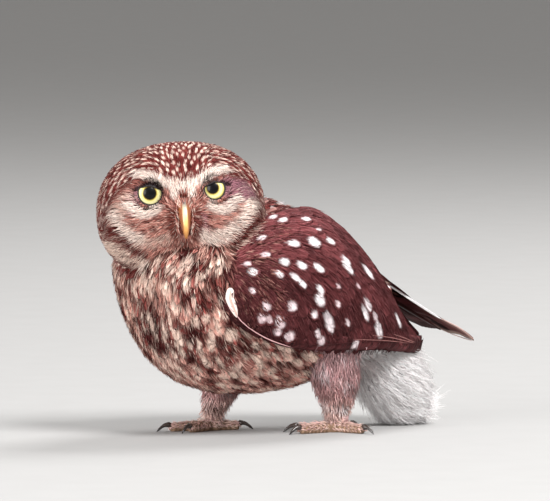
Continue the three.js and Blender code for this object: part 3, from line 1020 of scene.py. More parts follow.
class Markings:
    """The colours that skin and coat share, by place on the bird."""

    FACE = (
        Stroke(((21, 13), (27, 11.5), (30, 8)), 4.2, Tint.EYE_PATCH, 0.9, 1),
        Stroke(((20.5, 13), (23.5, 9), (22.5, 4)), 2.6, Tint.EYE_PATCH, 0.75, -1),
        Stroke(((21, 9), (21.5, 4)), 1.6, Tint.EYE_PATCH, 0.6, 1),
        Stroke(((7.5, -1), (8.5, -8)), 2.8, Tint.EYE_PATCH, 0.6, 1),
        Stroke(((26, 9), (31, 3)), 4.0, Tint.CREAM, 0.5, -1),
        Stroke(
            ((32, 3.5), (28.5, -2), (24, -6.2), (19, -9.4), (13, -10.8), (9, -9.5)), 3.6, Tint.CHEEK, 1, 1
        ),
        Stroke(((32, 2), (29, -3.5), (24.7, -7.5), (21, -9.5)), 3.0, Tint.CHEEK, 1, -1),
        Stroke(((20, -10.5), (14, -11.5), (9, -10)), 3.0, Tint.CREAM, 0.5, -1),
        Stroke(((34, -4.5), (28.5, -9.8), (24, -14), (19, -17.2)), 1.7, Tint.COLLAR),
        Stroke(((34.5, -12.5), (28.6, -16.8), (24, -19.4), (19.5, -21.4)), 3.2, Tint.CREAM),
        Stroke(((19, -22), (10, -25), (0, -27)), 2.8, Tint.CHEEK, 0.6),
        Stroke(((0, -13), (0, -21)), 3.6, Tint.FACE_DARK, 0.6),
        Stroke(((5.5, 2), (6.5, -3), (4.5, -8)), 2.3, Tint.LORES, 0.85),
        Stroke(((9.5, 6), (11, 3.4), (13.8, 0.2)), 0.8, Tint.LORES, 0.7),
        Stroke(((12.4, 4.4), (16.7, 2.2), (21.3, 2.9), (25.5, 6.7)), 2.3, Tint.BROW),
        # Painted shadow: a dark line under each brow, over the eye
        Stroke(((11.5, 15.9), (18, 17.6)), 0.9, Tint.FACE_DARK, 0.6),
        # The dark line along the top of each eye: partly the eye's own dark rim, partly painted shadow of
        # the brow that thickens it
        Stroke(((9, 10.4), (11.7, 13.7), (15.3, 15.1), (19, 15.1), (22.4, 13.8)), 1.05, Tint.RIM, 0.9),
        Stroke(((0, 14.3), (6.8, 15.3), (10.5, 17.6), (14.5, 19.7), (18.5, 20.9)), 2.2, Tint.BROW),
        Stroke(((14, 19.6), (18.5, 21), (22, 21.2)), 1.6, Tint.BROW, 0.8),
        Stroke(((3.6, 14), (4.2, 10.2)), 1.9, Tint.BROW),
        Stroke(((0, 10.2), (0, 9.0)), 1.7, Tint.LORES),
    )
    # The side of each eye, and where the dark ring round it starts and ends to fade
    EYE_RIMS = ((1, 4.7, 6.1), (-1, 5.4, 6.9))

    @classmethod
    def head(cls, points: Array) -> Array:
        """The head's colours, without the marks on single feathers.

        Args:
            points: the places, in millimetres.

        Returns:
            A colour for each place.
        """
        p = HEAD.local(points)
        x, y, z = p.T
        dapple = ripple(points, 9, 11)
        clumps = ripple(points, 3.6, 12)
        out = blend(Tint.CROWN, Tint.CROWN_DARK, np.clip(0.45 + 0.35 * dapple, 0, 1))
        sides = smooth(24, 38, np.abs(x)) * smooth(16, 4, z)
        out = blend(out, Tint.CHEEK, np.clip(sides * (0.05 + 0.3 * clumps), 0, 1))
        disc = (1 - smooth(0.9, 1.12, np.hypot(x / 33, (z + 1) / 23))) * HEAD.below_brow(p, 1.0)
        front = smooth(4, -6, y)
        out = blend(out, Tint.FACE, disc * front)
        out = blend(out, Tint.FACE_DARK, np.clip(disc * front * (0.2 + 0.75 * clumps), 0, 1))
        for stroke in cls.FACE:
            broken = 1
            if stroke.colour is Tint.CHEEK:
                broken = np.clip(1.2 + 0.5 * clumps, 0, 1)
            elif stroke.colour is Tint.CREAM:
                broken = np.clip(1.0 + 0.9 * clumps, 0, 1)
            out = blend(out, stroke.colour, stroke.mask(x, z) * front * broken)
        for side, inner, outer in cls.EYE_RIMS:
            r = np.hypot(x - side * HEAD.eye_across, z - HEAD.eye_height - 0.4)
            out = blend(out, Tint.RIM, (1 - smooth(inner, outer, r)) * front)
        nape = smooth(6, 16, y)
        patch = np.exp(-(((np.abs(x) - 14) / 6.5) ** 2) - ((z - 4) / 8) ** 2)
        veil = np.exp(-(((z + 3 - 0.35 * np.abs(x)) / 5) ** 2))
        out = blend(out, Tint.CHEEK, nape * veil * 0.55)
        return blend(out, Tint.CROWN_DARK, nape * patch * 0.8)

    @classmethod
    def body(cls, points: Array) -> Array:
        """The neck's, trunk's and undertail's colours.

        Args:
            points: the places, in millimetres.

        Returns:
            A colour for each place.
        """
        _, y, z = points.T
        zones = ripple(points, 15, 5)
        patches = ripple(points, 6, 6)
        back = smooth(72, 92, z + 0.15 * y)
        out = blend(Tint.BREAST, Tint.BREAST_DARK, np.clip(0.35 + 0.8 * zones + 0.8 * patches, 0, 1))
        pale = 0.35 * smooth(62, 76, z) - 0.05 - 0.6 * zones + 0.4 * patches
        out = blend(out, Tint.BREAST_PALE, np.clip(pale, 0, 0.9))
        belly = smooth(46, 24, z) * smooth(-92, -60, y)
        out = blend(out, Tint.BELLY, np.clip(belly * (0.6 + 0.6 * patches), 0, 1))
        out = blend(out, Tint.MANTLE, back)
        vent = smooth(14, 36, y) * smooth(62, 50, z)
        return blend(out, Tint.PUFF, vent)

    @classmethod
    def everywhere(cls, outline_tags: Array, points: Array) -> Array:
        """The skin's colour at places that carry the regions' indices.

        Args:
            outline_tags: the regions' indices.
            points: the places, in millimetres.

        Returns:
            A colour for each place.
        """
        out = cls.body(points)
        head = outline_tags == REGIONS.index(Region.HEAD)
        out[head] = cls.head(points[head])
        for region, tint in (
            (Region.WING_LEFT, Tint.WING), (Region.WING_RIGHT, Tint.WING),
            (Region.LEG_LEFT, Tint.LEG), (Region.LEG_RIGHT, Tint.LEG),
            (Region.FOOT_LEFT, Tint.TOE), (Region.FOOT_RIGHT, Tint.TOE),
            (Region.UNDERTAIL, Tint.PUFF_PAINTED_SHADE),
        ):
            out[outline_tags == REGIONS.index(region)] = tint
        return out


@dataclass(frozen=True)
class Mark:
    """A soft oval of colour on the plumage: its middle, its long way, its normal and half sizes."""

    middle: Array
    way: Array
    normal: Array
    length: float
    width: float
    tone: Array
    share: float = 1.0


class Marks:
    """Many ovals of colour, laid alike over the vanes and the strands of one place."""

    DEPTH = 4.5
    ROUGHNESS = 0.22
    GRAIN = 1.8

    def __init__(self, marks: Sequence[Mark], seed: int) -> None:
        """Take the marks.

        Args:
            marks: the marks; later ones lie over earlier ones.
            seed: picks their rough edges.
        """
        self.marks = marks
        self.seed = seed

    def over(self, places: Array, colours: Array) -> Array:
        """Colours at some places with the marks laid over them.

        Args:
            places: the places, in millimetres.
            colours: the colours there.

        Returns:
            The new colours.
        """
        flat, out = places.reshape(-1, 3), colours.reshape(-1, 3).copy()
        wobble = self.ROUGHNESS * ripple(flat, self.GRAIN, self.seed)
        for mark in self.marks:
            gap = flat - mark.middle
            near = np.flatnonzero((gap**2).sum(1) < (2 * max(mark.length, mark.width)) ** 2)
            gap = gap[near]
            side = np.cross(mark.normal, mark.way)
            r = (gap @ mark.way / mark.length) ** 2 + (gap @ side / mark.width) ** 2
            share = (1 - smooth(0.45, 1.35, r * 0.85 + wobble[near])) * mark.share
            share = share * (np.abs(gap @ mark.normal) < self.DEPTH)
            out[near] = blend(out[near], mark.tone, share)
        return out.reshape(colours.shape)


def unwrap(points: Array, centre: Sequence[float], axis: Sequence[float]) -> Array:
    """Where places lie on the skin, unrolled round an axis: round it, and along it.

    Args:
        points: the places, in millimetres.
        centre: a point on the axis.
        axis: the axis.

    Returns:
        For each place the angle round the axis, in radians, and the way along it, in millimetres.
    """
    a = unit(np.array(axis, float))
    gap = points - np.array(centre)
    along = gap @ a
    first = unit(np.cross(a, [0.3, 0.5, 0.8]))
    second = np.cross(a, first)
    return np.stack([np.arctan2(gap @ first, gap @ second), along], 1)


# Finishes


Socket = bpy.types.NodeSocket
Terms = dict[str | int, object]
FULL_TURN = 6.2832


class Nodes:
    """Short ways to add nodes to a tree and join them."""

    def __init__(self, tree: bpy.types.NodeTree) -> None:
        """Work on one tree."""
        self.tree = tree
        self._place: Socket | None = None

    def feed(self, node: bpy.types.Node, terms: Terms) -> None:
        """Set inputs of a node; each term is a value or another node's output.

        Args:
            node: the node.
            terms: what each input takes, by its name or number.
        """
        for name, term in terms.items():
            if isinstance(term, Socket):
                self.tree.links.new(term, node.inputs[name])
            else:
                node.inputs[name].default_value = term

    def add(self, kind: str, terms: Terms | None = None, **values: object) -> bpy.types.Node:
        """A new node with some of its inputs fed and its properties set.

        Args:
            kind: the type of the node.
            terms: what its inputs take.
            values: what its properties are set to.

        Returns:
            The node.
        """
        node = self.tree.nodes.new(kind)
        for key, value in values.items():
            setattr(node, key, value)
        self.feed(node, terms or {})
        return node

    @property
    def place(self) -> Socket:
        """The Object coordinates.

        Returns:
            The output of one node for the whole tree.
        """
        if self._place is None:
            self._place = self.add("ShaderNodeTexCoord").outputs["Object"]
        return self._place

    def math(self, operation: str, *terms: object) -> Socket:
        """The result of a sum; each term is a number or an output."""
        padded = (*terms, 0.0, 0.0)[:3]
        return self.add("ShaderNodeMath", dict(enumerate(padded)), operation=operation).outputs[0]

    def vector(self, operation: str, a: Socket, b: object) -> bpy.types.Node:
        """A node that works on two vectors; the second is a value or an output."""
        return self.add("ShaderNodeVectorMath", {0: a, 1: b}, operation=operation)

    def from_point(self, point: Sequence[float]) -> Socket:
        """The way from a point to each place."""
        return self.vector("SUBTRACT", self.place, point).outputs[0]

    def along(self, point: Sequence[float], way: Sequence[float]) -> Socket:
        """How far each place is from a point along a way."""
        return self.vector("DOT_PRODUCT", self.from_point(point), way).outputs["Value"]

    def noise(self, scale: object, detail: float) -> Socket:
        """Noise on Object coordinates."""
        terms = {"Scale": scale, "Detail": detail, "Vector": self.place}
        return self.add("ShaderNodeTexNoise", terms, noise_dimensions="3D").outputs[0]

    def bump(self, height: Socket, strength: float, distance: float) -> Socket:
        """The normals of a surface that a height in metres raises."""
        terms = {"Height": height, "Strength": strength, "Distance": distance}
        return self.add("ShaderNodeBump", terms).outputs["Normal"]

    def mix(self, share: object, a: object, b: object) -> Socket:
        """Two colours mixed; each term is a value or an output."""
        terms = {0: share, 6: a, 7: b}
        return self.add("ShaderNodeMix", terms, data_type="RGBA", blend_type="MIX").outputs[2]

    def ramp(self, value: Socket, stops: Sequence[tuple[float, Sequence[float]]]) -> Socket:
        """A colour for each value, through some stops.

        Args:
            value: the output that it takes.
            stops: each stop's place and colour.

        Returns:
            The colour.
        """
        node = self.add("ShaderNodeValToRGB", {0: value})
        while len(node.color_ramp.elements) < len(stops):
            node.color_ramp.elements.new(0.5)
        for element, (place, colour) in zip(node.color_ramp.elements, stops):
            element.position = place
            element.color = (*colour, 1)
        return node.outputs[0]


class Effect(Nodes):
    """A shared node group that shades a colour and puts out one number beside it."""

    def __init__(self, name: str, number: str, **inputs: float) -> None:
        """Start the group.

        Args:
            name: the group's name.
            number: the name of the number that it puts out.
            inputs: the numbers that it takes, with their usual values.
        """
        super().__init__(bpy.data.node_groups.new(name, "ShaderNodeTree"))
        make = self.tree.interface.new_socket
        make(name="Colour", in_out="INPUT", socket_type="NodeSocketColor")
        for key, value in inputs.items():
            make(name=key, in_out="INPUT", socket_type="NodeSocketFloat").default_value = value
        make(name="Colour", in_out="OUTPUT", socket_type="NodeSocketColor")
        make(name=number, in_out="OUTPUT", socket_type="NodeSocketFloat")
        self.number = number
        self.given = self.add("NodeGroupInput").outputs

    def finish(self, shade: Socket, number: Socket) -> bpy.types.NodeTree:
        """Put out the colour times the shade, and the number.

        Args:
            shade: the factor for the colour.
            number: what else it puts out.

        Returns:
            The node group.
        """
        terms = {0: self.given["Colour"], "Scale": shade}
        shaded = self.add("ShaderNodeVectorMath", terms, operation="SCALE").outputs[0]
        self.add("NodeGroupOutput", {"Colour": shaded, self.number: number})
        return self.tree


def barbs() -> bpy.types.NodeTree:
    """Fine slanting barbs either side of a shaft, from the Vane map.

    Returns:
        The node group.
    """
    n = Effect("Barbs", "Height", Rows=40.0, Contrast=0.2)
    vane = n.add("ShaderNodeUVMap", uv_map="Vane").outputs[0]
    parts = n.add("ShaderNodeSeparateXYZ", {0: vane})
    across = n.math("ABSOLUTE", n.math("MULTIPLY_ADD", parts.outputs[0], 2.0, -1.0))
    slant = n.math("MULTIPLY_ADD", across, -0.35, parts.outputs[1])
    turns = n.math("MULTIPLY", n.math("MULTIPLY", slant, n.given["Rows"]), FULL_TURN)
    grain = n.math("MULTIPLY_ADD", n.noise(900.0, 2.0), 2.4, -1.2)
    height = n.math("ADD", n.math("MULTIPLY", n.math("SINE", turns), 0.5), grain)
    beside = n.math("SMOOTH_MIN", n.math("MULTIPLY", across, 9.0), 1.0, 0.2)
    shaft = n.math("MULTIPLY", n.math("SUBTRACT", 1.0, beside), n.given["Contrast"])
    relief = n.math("MULTIPLY", height, n.given["Contrast"])
    shade = n.math("SUBTRACT", n.math("MULTIPLY_ADD", relief, 1.0, 1.0), shaft)
    return n.finish(shade, height)


def mottle() -> bpy.types.NodeTree:
    """Slow change of brightness over the surface, from Object coordinates.

    Returns:
        The node group.
    """
    n = Effect("Mottle", "Value", Scale=120.0, Amount=0.2)
    noise = n.noise(n.given["Scale"], 4.0)
    centred = n.math("MULTIPLY_ADD", noise, 2.0, -1.0)
    return n.finish(n.math("MULTIPLY_ADD", centred, n.given["Amount"], 1.0), noise)


def new_material(name: str) -> tuple[bpy.types.Material, Nodes, bpy.types.Node]:
    """A material with its shader joined up: the material, its nodes and the shader.

    Args:
        name: its name.

    Returns:
        The material, its nodes and the shader.
    """
    material = bpy.data.materials.new(name)
    material.use_nodes = True
    tree = material.node_tree
    return material, Nodes(tree), tree.nodes["Principled BSDF"]


def plumage(n: Nodes, group: bpy.types.NodeTree, scale: float, amount: float) -> tuple[Socket, Socket]:
    """The colours of the Plumage attribute, mottled, and the mottling's own value.

    Args:
        n: the material's nodes.
        group: the group for mottling.
        scale: how fine the mottling is.
        amount: how strong it is.

    Returns:
        The colour and the mottling's value.
    """
    colour = n.add("ShaderNodeAttribute", attribute_name="Plumage").outputs["Color"]
    terms = {"Colour": colour, "Scale": scale, "Amount": amount}
    made = n.add("ShaderNodeGroup", terms, node_tree=group).outputs
    return made["Colour"], made["Value"]


@dataclass(frozen=True)
class FeatherFinish:
    """Feathers coloured by their Plumage attribute, with barbs and slow mottling."""

    name: str
    barb_rows: float
    contrast: float
    roughness: float
    bump: float
    specular: float = 0.05
    relief: float = 0.0002

    def make(self, fine: bpy.types.NodeTree, slow: bpy.types.NodeTree) -> bpy.types.Material:
        """Build the material from the groups for barbs and mottling.

        Args:
            fine: the group for barbs.
            slow: the group for mottling.

        Returns:
            The material.
        """
        material, n, shader = new_material(self.name)
        colour, value = plumage(n, slow, scale=160.0, amount=0.22)
        terms = {"Colour": colour, "Rows": self.barb_rows, "Contrast": self.contrast}
        vane = n.add("ShaderNodeGroup", terms, node_tree=fine).outputs
        n.feed(shader, {
            "Base Color": vane["Colour"],
            "Normal": n.bump(vane["Height"], self.bump, self.relief),
            "Roughness": n.math("MULTIPLY_ADD", value, 0.16, self.roughness - 0.08),
            "Specular IOR Level": self.specular,
        })
        return material


@dataclass(frozen=True)
class SkinFinish:
    """The skin and down under the feathers, in the coat's colours darkened as painted shade."""

    name: str = "down"
    specular: float = 0.1
    relief: float = 0.0004

    def make(self, slow: bpy.types.NodeTree) -> bpy.types.Material:
        """Build the material from the group for mottling.

        Args:
            slow: the group for mottling.

        Returns:
            The material.
        """
        material, n, shader = new_material(self.name)
        colour, value = plumage(n, slow, scale=700.0, amount=0.45)
        n.feed(shader, {
            "Base Color": colour,
            "Normal": n.bump(value, 0.6, self.relief),
            "Roughness": n.math("MULTIPLY_ADD", value, 0.2, 0.7),
            "Specular IOR Level": self.specular,
        })
        return material


@dataclass(frozen=True)
class EyeFinish:
    """A wet eye: pupil, yellow iris with fine rays, and a dark rim, round the line of sight."""

    name: str
    centre: tuple[float, float, float]
    sight: tuple[float, float, float]
    pupil: float = 2.75
    iris: float = 5.75
    radius: float = 8.0

    def make(self) -> bpy.types.Material:
        """Build the material; distances are measured from the line of sight.

        Returns:
            The material.
        """
        material, n, shader = new_material(self.name)
        cross = n.vector("CROSS_PRODUCT", n.from_point(self.centre), self.sight).outputs[0]
        length = n.add("ShaderNodeVectorMath", {0: cross}, operation="LENGTH").outputs["Value"]
        share = n.math("DIVIDE", length, self.radius * MM)
        noise = n.noise(1500.0, 3.0)
        warped = n.math("ADD", share, n.math("MULTIPLY_ADD", noise, 0.04, -0.02))
        pupil, iris = self.pupil / self.radius, self.iris / self.radius
        dark, gold = linear((4, 3, 5)), linear((222, 210, 124))
        pale, olive = linear((246, 240, 184)), linear((130, 104, 40))
        stops = (
            (0.0, dark), (pupil - 0.02, dark), (pupil + 0.02, olive), (pupil + 0.07, gold),
            ((pupil + iris) / 2, pale), (iris - 0.06, gold), (iris, olive), (iris + 0.04, dark),
        )
        n.feed(shader, {
            "Base Color": n.ramp(warped, stops),
            "Roughness": n.math("MULTIPLY_ADD", noise, 0.1, 0.3),
            "Specular IOR Level": 0.1,
            "Coat Weight": 0.4,
            "Coat IOR": 1.36,
            "Coat Roughness": 0.1,
        })
        return material


@dataclass(frozen=True)
class HornFinish:
    """Horn that changes colour along one direction, with fine growth lines."""

    name: str
    start: tuple[float, float, float]
    end: tuple[float, float, float]
    stops: tuple[tuple[float, Colour], ...]
    roughness: float = 0.3
    coat: float = 0.3
    relief: float = 0.0002

    def make(self) -> bpy.types.Material:
        """Build the material; the colours run from start to end.

        Returns:
            The material.
        """
        material, n, shader = new_material(self.name)
        way = Vector(self.end) - Vector(self.start)
        share = n.along(self.start, way / way.length_squared)
        noise = n.noise(600.0, 4.0)
        warped = n.math("ADD", share, n.math("MULTIPLY_ADD", noise, 0.16, -0.08))
        stops = [(at, linear(colour)) for at, colour in self.stops]
        n.feed(shader, {
            "Base Color": n.ramp(warped, stops),
            "Normal": n.bump(noise, 0.25, self.relief),
            "Roughness": n.math("MULTIPLY_ADD", noise, 0.2, self.roughness - 0.1),
            "Coat Weight": self.coat,
            "Coat Roughness": 0.15,
        })
        return material


@dataclass
class Finishes:
    """Every finish of the plumage, built once."""

    soft: bpy.types.Material
    sleek: bpy.types.Material
    hair: bpy.types.Material
    down: bpy.types.Material

    @classmethod
    def make(cls) -> "Finishes":
        """Build the shared groups and the finishes of the plumage.

        Returns:
            The finishes.
        """
        fine, slow = barbs(), mottle()
        return cls(
            soft=FeatherFinish("soft_feather", 16.0, 0.10, roughness=0.75, bump=0.25).make(fine, slow),
            sleek=FeatherFinish("sleek_feather", 34.0, 0.07, roughness=0.55, bump=0.3).make(fine, slow),
            hair=FeatherFinish("hair_feather", 3.0, 0.12, roughness=0.8, bump=0.1).make(fine, slow),
            down=SkinFinish().make(slow),
        )


# The skin


@dataclass
class Skin:
    """One skin inside the flesh nodes, deeper where the coat is deeper."""

    outline: Outline
    scute_pitch: float = 2.1
    scute_height: float = 0.14
    foot_top: float = 8.0

    def _gather(self, per_face: Array) -> Array:
        """The sum, at each place of the outline, of its faces' values.

        Args:
            per_face: a value for each face.

        Returns:
            A sum for each place of the outline.
        """
        total = np.zeros(len(self.outline.places))
        for corner in self.outline.faces.T:
            np.add.at(total, corner, per_face)
        return total

    def _depth(self) -> Array:
        """How deep the skin lies at each place, with soft steps between the regions.

        Returns:
            A depth in millimetres for each place.
        """
        o = self.outline
        faces_round = np.maximum(self._gather(np.ones(len(o.faces))), 1)
        depth = self._gather(np.array([COAT_DEPTH[r] for r in REGIONS])[o.tags]) / faces_round
        for _ in range(12):
            depth = self._gather(depth[o.faces].mean(1)) / faces_round
        return depth

    def _scutes(self, tags: Array) -> Array:
        """Rows of scales over the toes, as a wave from -1 to 1 round the middle of each foot.

        Args:
            tags: the regions' indices at the outline's places.

        Returns:
            The wave at each place.
        """
        places = self.outline.places
        scutes = np.zeros(len(places))
        for foot in (Region.FOOT_LEFT, Region.FOOT_RIGHT):
            low, high = (np.array(corner[:2]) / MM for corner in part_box(foot.value))
            gap = np.linalg.norm(places[:, :2] - (low + high) / 2, axis=1)
            wave = np.sin(gap * 2 * math.pi / self.scute_pitch)
            scutes += wave * (tags == REGIONS.index(foot))
        return scutes

    def build(self, material: bpy.types.Material) -> bpy.types.Object:
        """Move the outline inwards by the coat's depth and dress it, darkened as painted shade under the
        feathers.

        Args:
            material: the finish.

        Returns:
            The new object.
        """
        o = self.outline
        tags = np.zeros(len(o.places), int)
        for corner in o.faces.T:
            tags[corner] = o.tags
        scutes = self._scutes(tags)
        depth = (self._depth() + self.scute_height * scutes) * smooth(0.8, 2.0, o.places[:, 2])
        places = (o.places - o.normals * depth[:, None]) * MM
        mesh = bpy.data.meshes.new("skin")
        mesh.from_pydata(places.tolist(), [], o.faces.tolist())
        # The markings at 62 percent, as painted shade under the feathers, and darker in the grooves between
        # the toes' rows of scales
        paint(mesh, Markings.everywhere(tags, o.places) * (0.62 - 0.2 * scutes)[:, None])
        bm = bmesh.new()
        bm.from_mesh(mesh)
        soften(bm, [v for v in bm.verts if v.co.z > self.foot_top * MM], 0.5, 4)
        bm.to_mesh(mesh)
        bm.free()
        mesh.polygons.foreach_set("use_smooth", np.ones(len(mesh.polygons), bool))
        mesh.materials.append(material)
        piece = new_object("skin", mesh)
        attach(piece, BODY)
        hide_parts(*(r.value for r in REGIONS))
        return piece


# Coats of small feathers


@dataclass
class HeadCoat:
    """The crown, face, cheeks and nape."""

    outline: Outline
    mark_gap: float = 2.48
    face_gap: float = 0.5
    openings: tuple[tuple[int, float], ...] = ((1, 6.4), (-1, 6.8))

    def _front(self, points: Array) -> Array:
        """How much each place belongs to the face, from 0 to 1; the brows bound it above.

        Args:
            points: the places, in millimetres.

        Returns:
            A share for each place.
        """
        p = HEAD.local(points)
        disc = 1 - smooth(0.95, 1.05, np.hypot(p[:, 0] / 36, (p[:, 2] + 2) / 27))
        return disc * HEAD.below_brow(p, 0.6) * (p[:, 1] < -2)

    def _clear(self, points: Array) -> Array:
        """Which places are clear of the eyes and the bill.

        Args:
            points: the places, in millimetres.

        Returns:
            True for each place that is clear.
        """
        p = HEAD.local(points)
        out = np.ones(len(p), bool)
        for side, opening in self.openings:
            gap = np.hypot(p[:, 0] - side * HEAD.eye_across, p[:, 2] - HEAD.eye_height)
            out &= (gap > opening) | (p[:, 1] > -5)
        bill = (np.abs(p[:, 0]) < 2.6) & (p[:, 2] < 5.5) & (p[:, 2] > -8) & (p[:, 1] < -8)
        return out & ~bill

    def _upper(self, points: Array, normals: Array) -> Array:
        """Which places belong to the crown, the sides and the nape."""
        above = HEAD.local(points)[:, 2] > 10.5
        return ((self._front(points) < 0.6) | above) & self._clear(points)

    def _mark_spacing(self, points: Array) -> Array:
        """How far apart the cream marks are; wider towards the nape."""
        return self.mark_gap * (1 + 0.4 * smooth(4, 18, HEAD.local(points)[:, 1]))

    def _behind_face(self, points: Array, normals: Array) -> Array:
        """Which places of the upper part can take a cream mark."""
        return self._upper(points, normals) & (self._front(points) < 0.3)

    def _marks(self) -> Marks:
        """Cream marks: short on the crown, long on the sides, broad on the nape.

        Returns:
            The marks.
        """
        places = self.outline.scatter([Region.HEAD], self._mark_spacing, self._behind_face, 24)
        spots, normals = self.outline.nearest(places)
        ways = Lie.head(spots, normals)
        rng = np.random.default_rng(25)
        x, y, _ = HEAD.local(spots).T
        aside = smooth(14, 26, np.abs(x)) * smooth(16, 4, y)
        behind = smooth(4, 18, y)
        long = rng.uniform(0.9, 1.6, len(x)) * (1 + 0.35 * aside + 0.5 * behind)
        wide = rng.uniform(0.48, 0.72, len(x)) * (1 + 0.7 * behind) * (1 - 0.25 * aside)
        tones = blend(Tint.CREAM, Tint.CROWN, rng.uniform(0, 0.25, len(x)))
        return Marks([Mark(*row, 0.97) for row in zip(spots, ways, normals, long, wide, tones)], 26)

    def crown(self, finish: bpy.types.Material, hair: bpy.types.Material) -> list[bpy.types.Object]:
        """Brown feathers and fine strands with the same cream marks, in two pieces.

        Args:
            finish: the finish of the feathers.
            hair: the finish of the strands.

        Returns:
            The new objects.
        """
        marks, made = self._marks(), []
        for name, form, gap, length, half, sink, lift, ragged, material in (
            ("coat_crown", VANE, 1.95, 7.5, 1.35, 2.0, 0.15, 0.7, finish),
            ("coat_crown_hair", SPIKE, 0.8, 3.8, 0.16, 0.5, 0.55, 0.0, hair),
        ):
            bed = Bed(self.outline, form, Lie.head, [Region.HEAD], gap, self._upper, 21)
            rng, count = bed.rng, bed.count
            lengths = length * near_one(rng, count, 0.1)
            plumes = bed.lay(lengths, half * rng.uniform(0.85, 1.3, count), sink, lift, stray=8)
            plumes.ragged = ragged
            base = Markings.head(plumes.centres[:, -2]) * brightness(rng, count, 0.14)
            plumes.colours = Pattern(base=base, fibre=0.12, root_painted_shade=0.1).colours(form)
            plumes.colours = marks.over(plumes.vertices(), plumes.colours)
            plumes.cells = self._unwrap(bed.roots)
            made.append(Coat(name, 0.003, plumes).build(material, "plumage"))
        return made

    @staticmethod
    def _unwrap(points: Array) -> Array:
        """Places on the head's unwrap."""
        return unwrap(points, HEAD.centre, (0, 0, 1))

    @staticmethod
    def _round_bill(points: Array, normals: Array) -> Array:
        """Which places are beside or just above the bill.

        Args:
            points: the places, in millimetres.
            normals: the outline's outward normals there; not used.

        Returns:
            True for each place that is.
        """
        x, y, z = HEAD.local(points).T
        beside = (np.abs(x) > 2.2) & (np.abs(x) < 4.8) & (z > -5) & (z < 7.5)
        above = (np.abs(x) < 3.4) & (z > 5.2) & (z < 10)
        return (beside | above) & (y < -8)

    @staticmethod
    def _forward(points: Array, normals: Array) -> Array:
        """The way of the bristles: forward, down and in over the bill's base."""
        x = HEAD.local(points)[:, 0]
        return HEAD.directions(unit(np.stack([-0.1 * x, 0 * x - 0.8, 0 * x - 0.8], 1)))

    def _bristles(self) -> Plumes:
        """Thin bristles that lean forward over the bill's base.

        Returns:
            The bristles.
        """
        bed = Bed(self.outline, SPIKE, self._forward, [Region.HEAD], 0.52, self._round_bill, 36)
        rng, count = bed.rng, bed.count
        plumes = bed.lay(
            rng.uniform(3.2, 6.2, count), rng.uniform(0.09, 0.15, count), sink=0.3, lift=0.0, stray=14,
            free=0,
        )
        kind = rng.random(count)[:, None]
        tone = np.where(kind < 0.5, Tint.LORES, np.where(kind < 0.8, Tint.FACE, Tint.CREAM))
        plumes.colours = Pattern(base=tone, root_painted_shade=0.1).colours(SPIKE)
        plumes.cells = self._unwrap(bed.roots)
        return plumes

    def _face_spacing(self, points: Array) -> Array:
        """How far apart the face's feathers are; wider towards its sides."""
        return self.face_gap + 0.14 * smooth(14, 30, np.abs(HEAD.local(points)[:, 0]))

    def _in_face(self, points: Array, normals: Array) -> Array:
        """Which places belong to the face."""
        return (self._front(points) > 0.02) & self._clear(points)

    def face(self, finish: bpy.types.Material) -> bpy.types.Object:
        """Fine hair-like feathers that ring the eyes and the bill.

        Args:
            finish: the finish that it takes.

        Returns:
            The new object.
        """
        bed = Bed(self.outline, HAIR, Lie.head, [Region.HEAD], self._face_spacing, self._in_face, 31)
        rng, count = bed.rng, bed.count
        p = HEAD.local(bed.roots)
        from_bill = np.hypot(p[:, 0], p[:, 2] + 2)
        length = 2.8 + 2.4 * smooth(6, 26, from_bill) + rng.normal(0, 0.4, count)
        length = length + 3.6 * smooth(-16, -24, p[:, 2])
        plumes = bed.lay(
            length, 0.15 + 0.11 * rng.random(count), sink=0.3, lift=rng.uniform(0.2, 1.0, count), stray=12
        )
        kind = rng.random(count)
        base = blend(Markings.head(plumes.centres[:, 1]), Tint.CREAM, some(rng, kind < 0.25, 0.1, 0.5))
        base = blend(base, Tint.FACE_DARK, some(rng, kind > 0.8, 0.1, 0.5))
        plumes.colours = Pattern(base=base, root_painted_shade=0.15).colours(HAIR)
        plumes.cells = self._unwrap(bed.roots)
        return Coat("coat_face", 0.003, plumes, self._bristles()).build(finish, "plumage")


@dataclass(frozen=True)
class Seen:
    """A mark read off the picture: across and down in it, half its size in millimetres, and share."""

    across: float
    down: float
    width: float
    length: float
    share: float


# The part of the photograph that was enlarged to read the marks of the breast
BREAST_CROP = Crop(108, 240, 10.12)
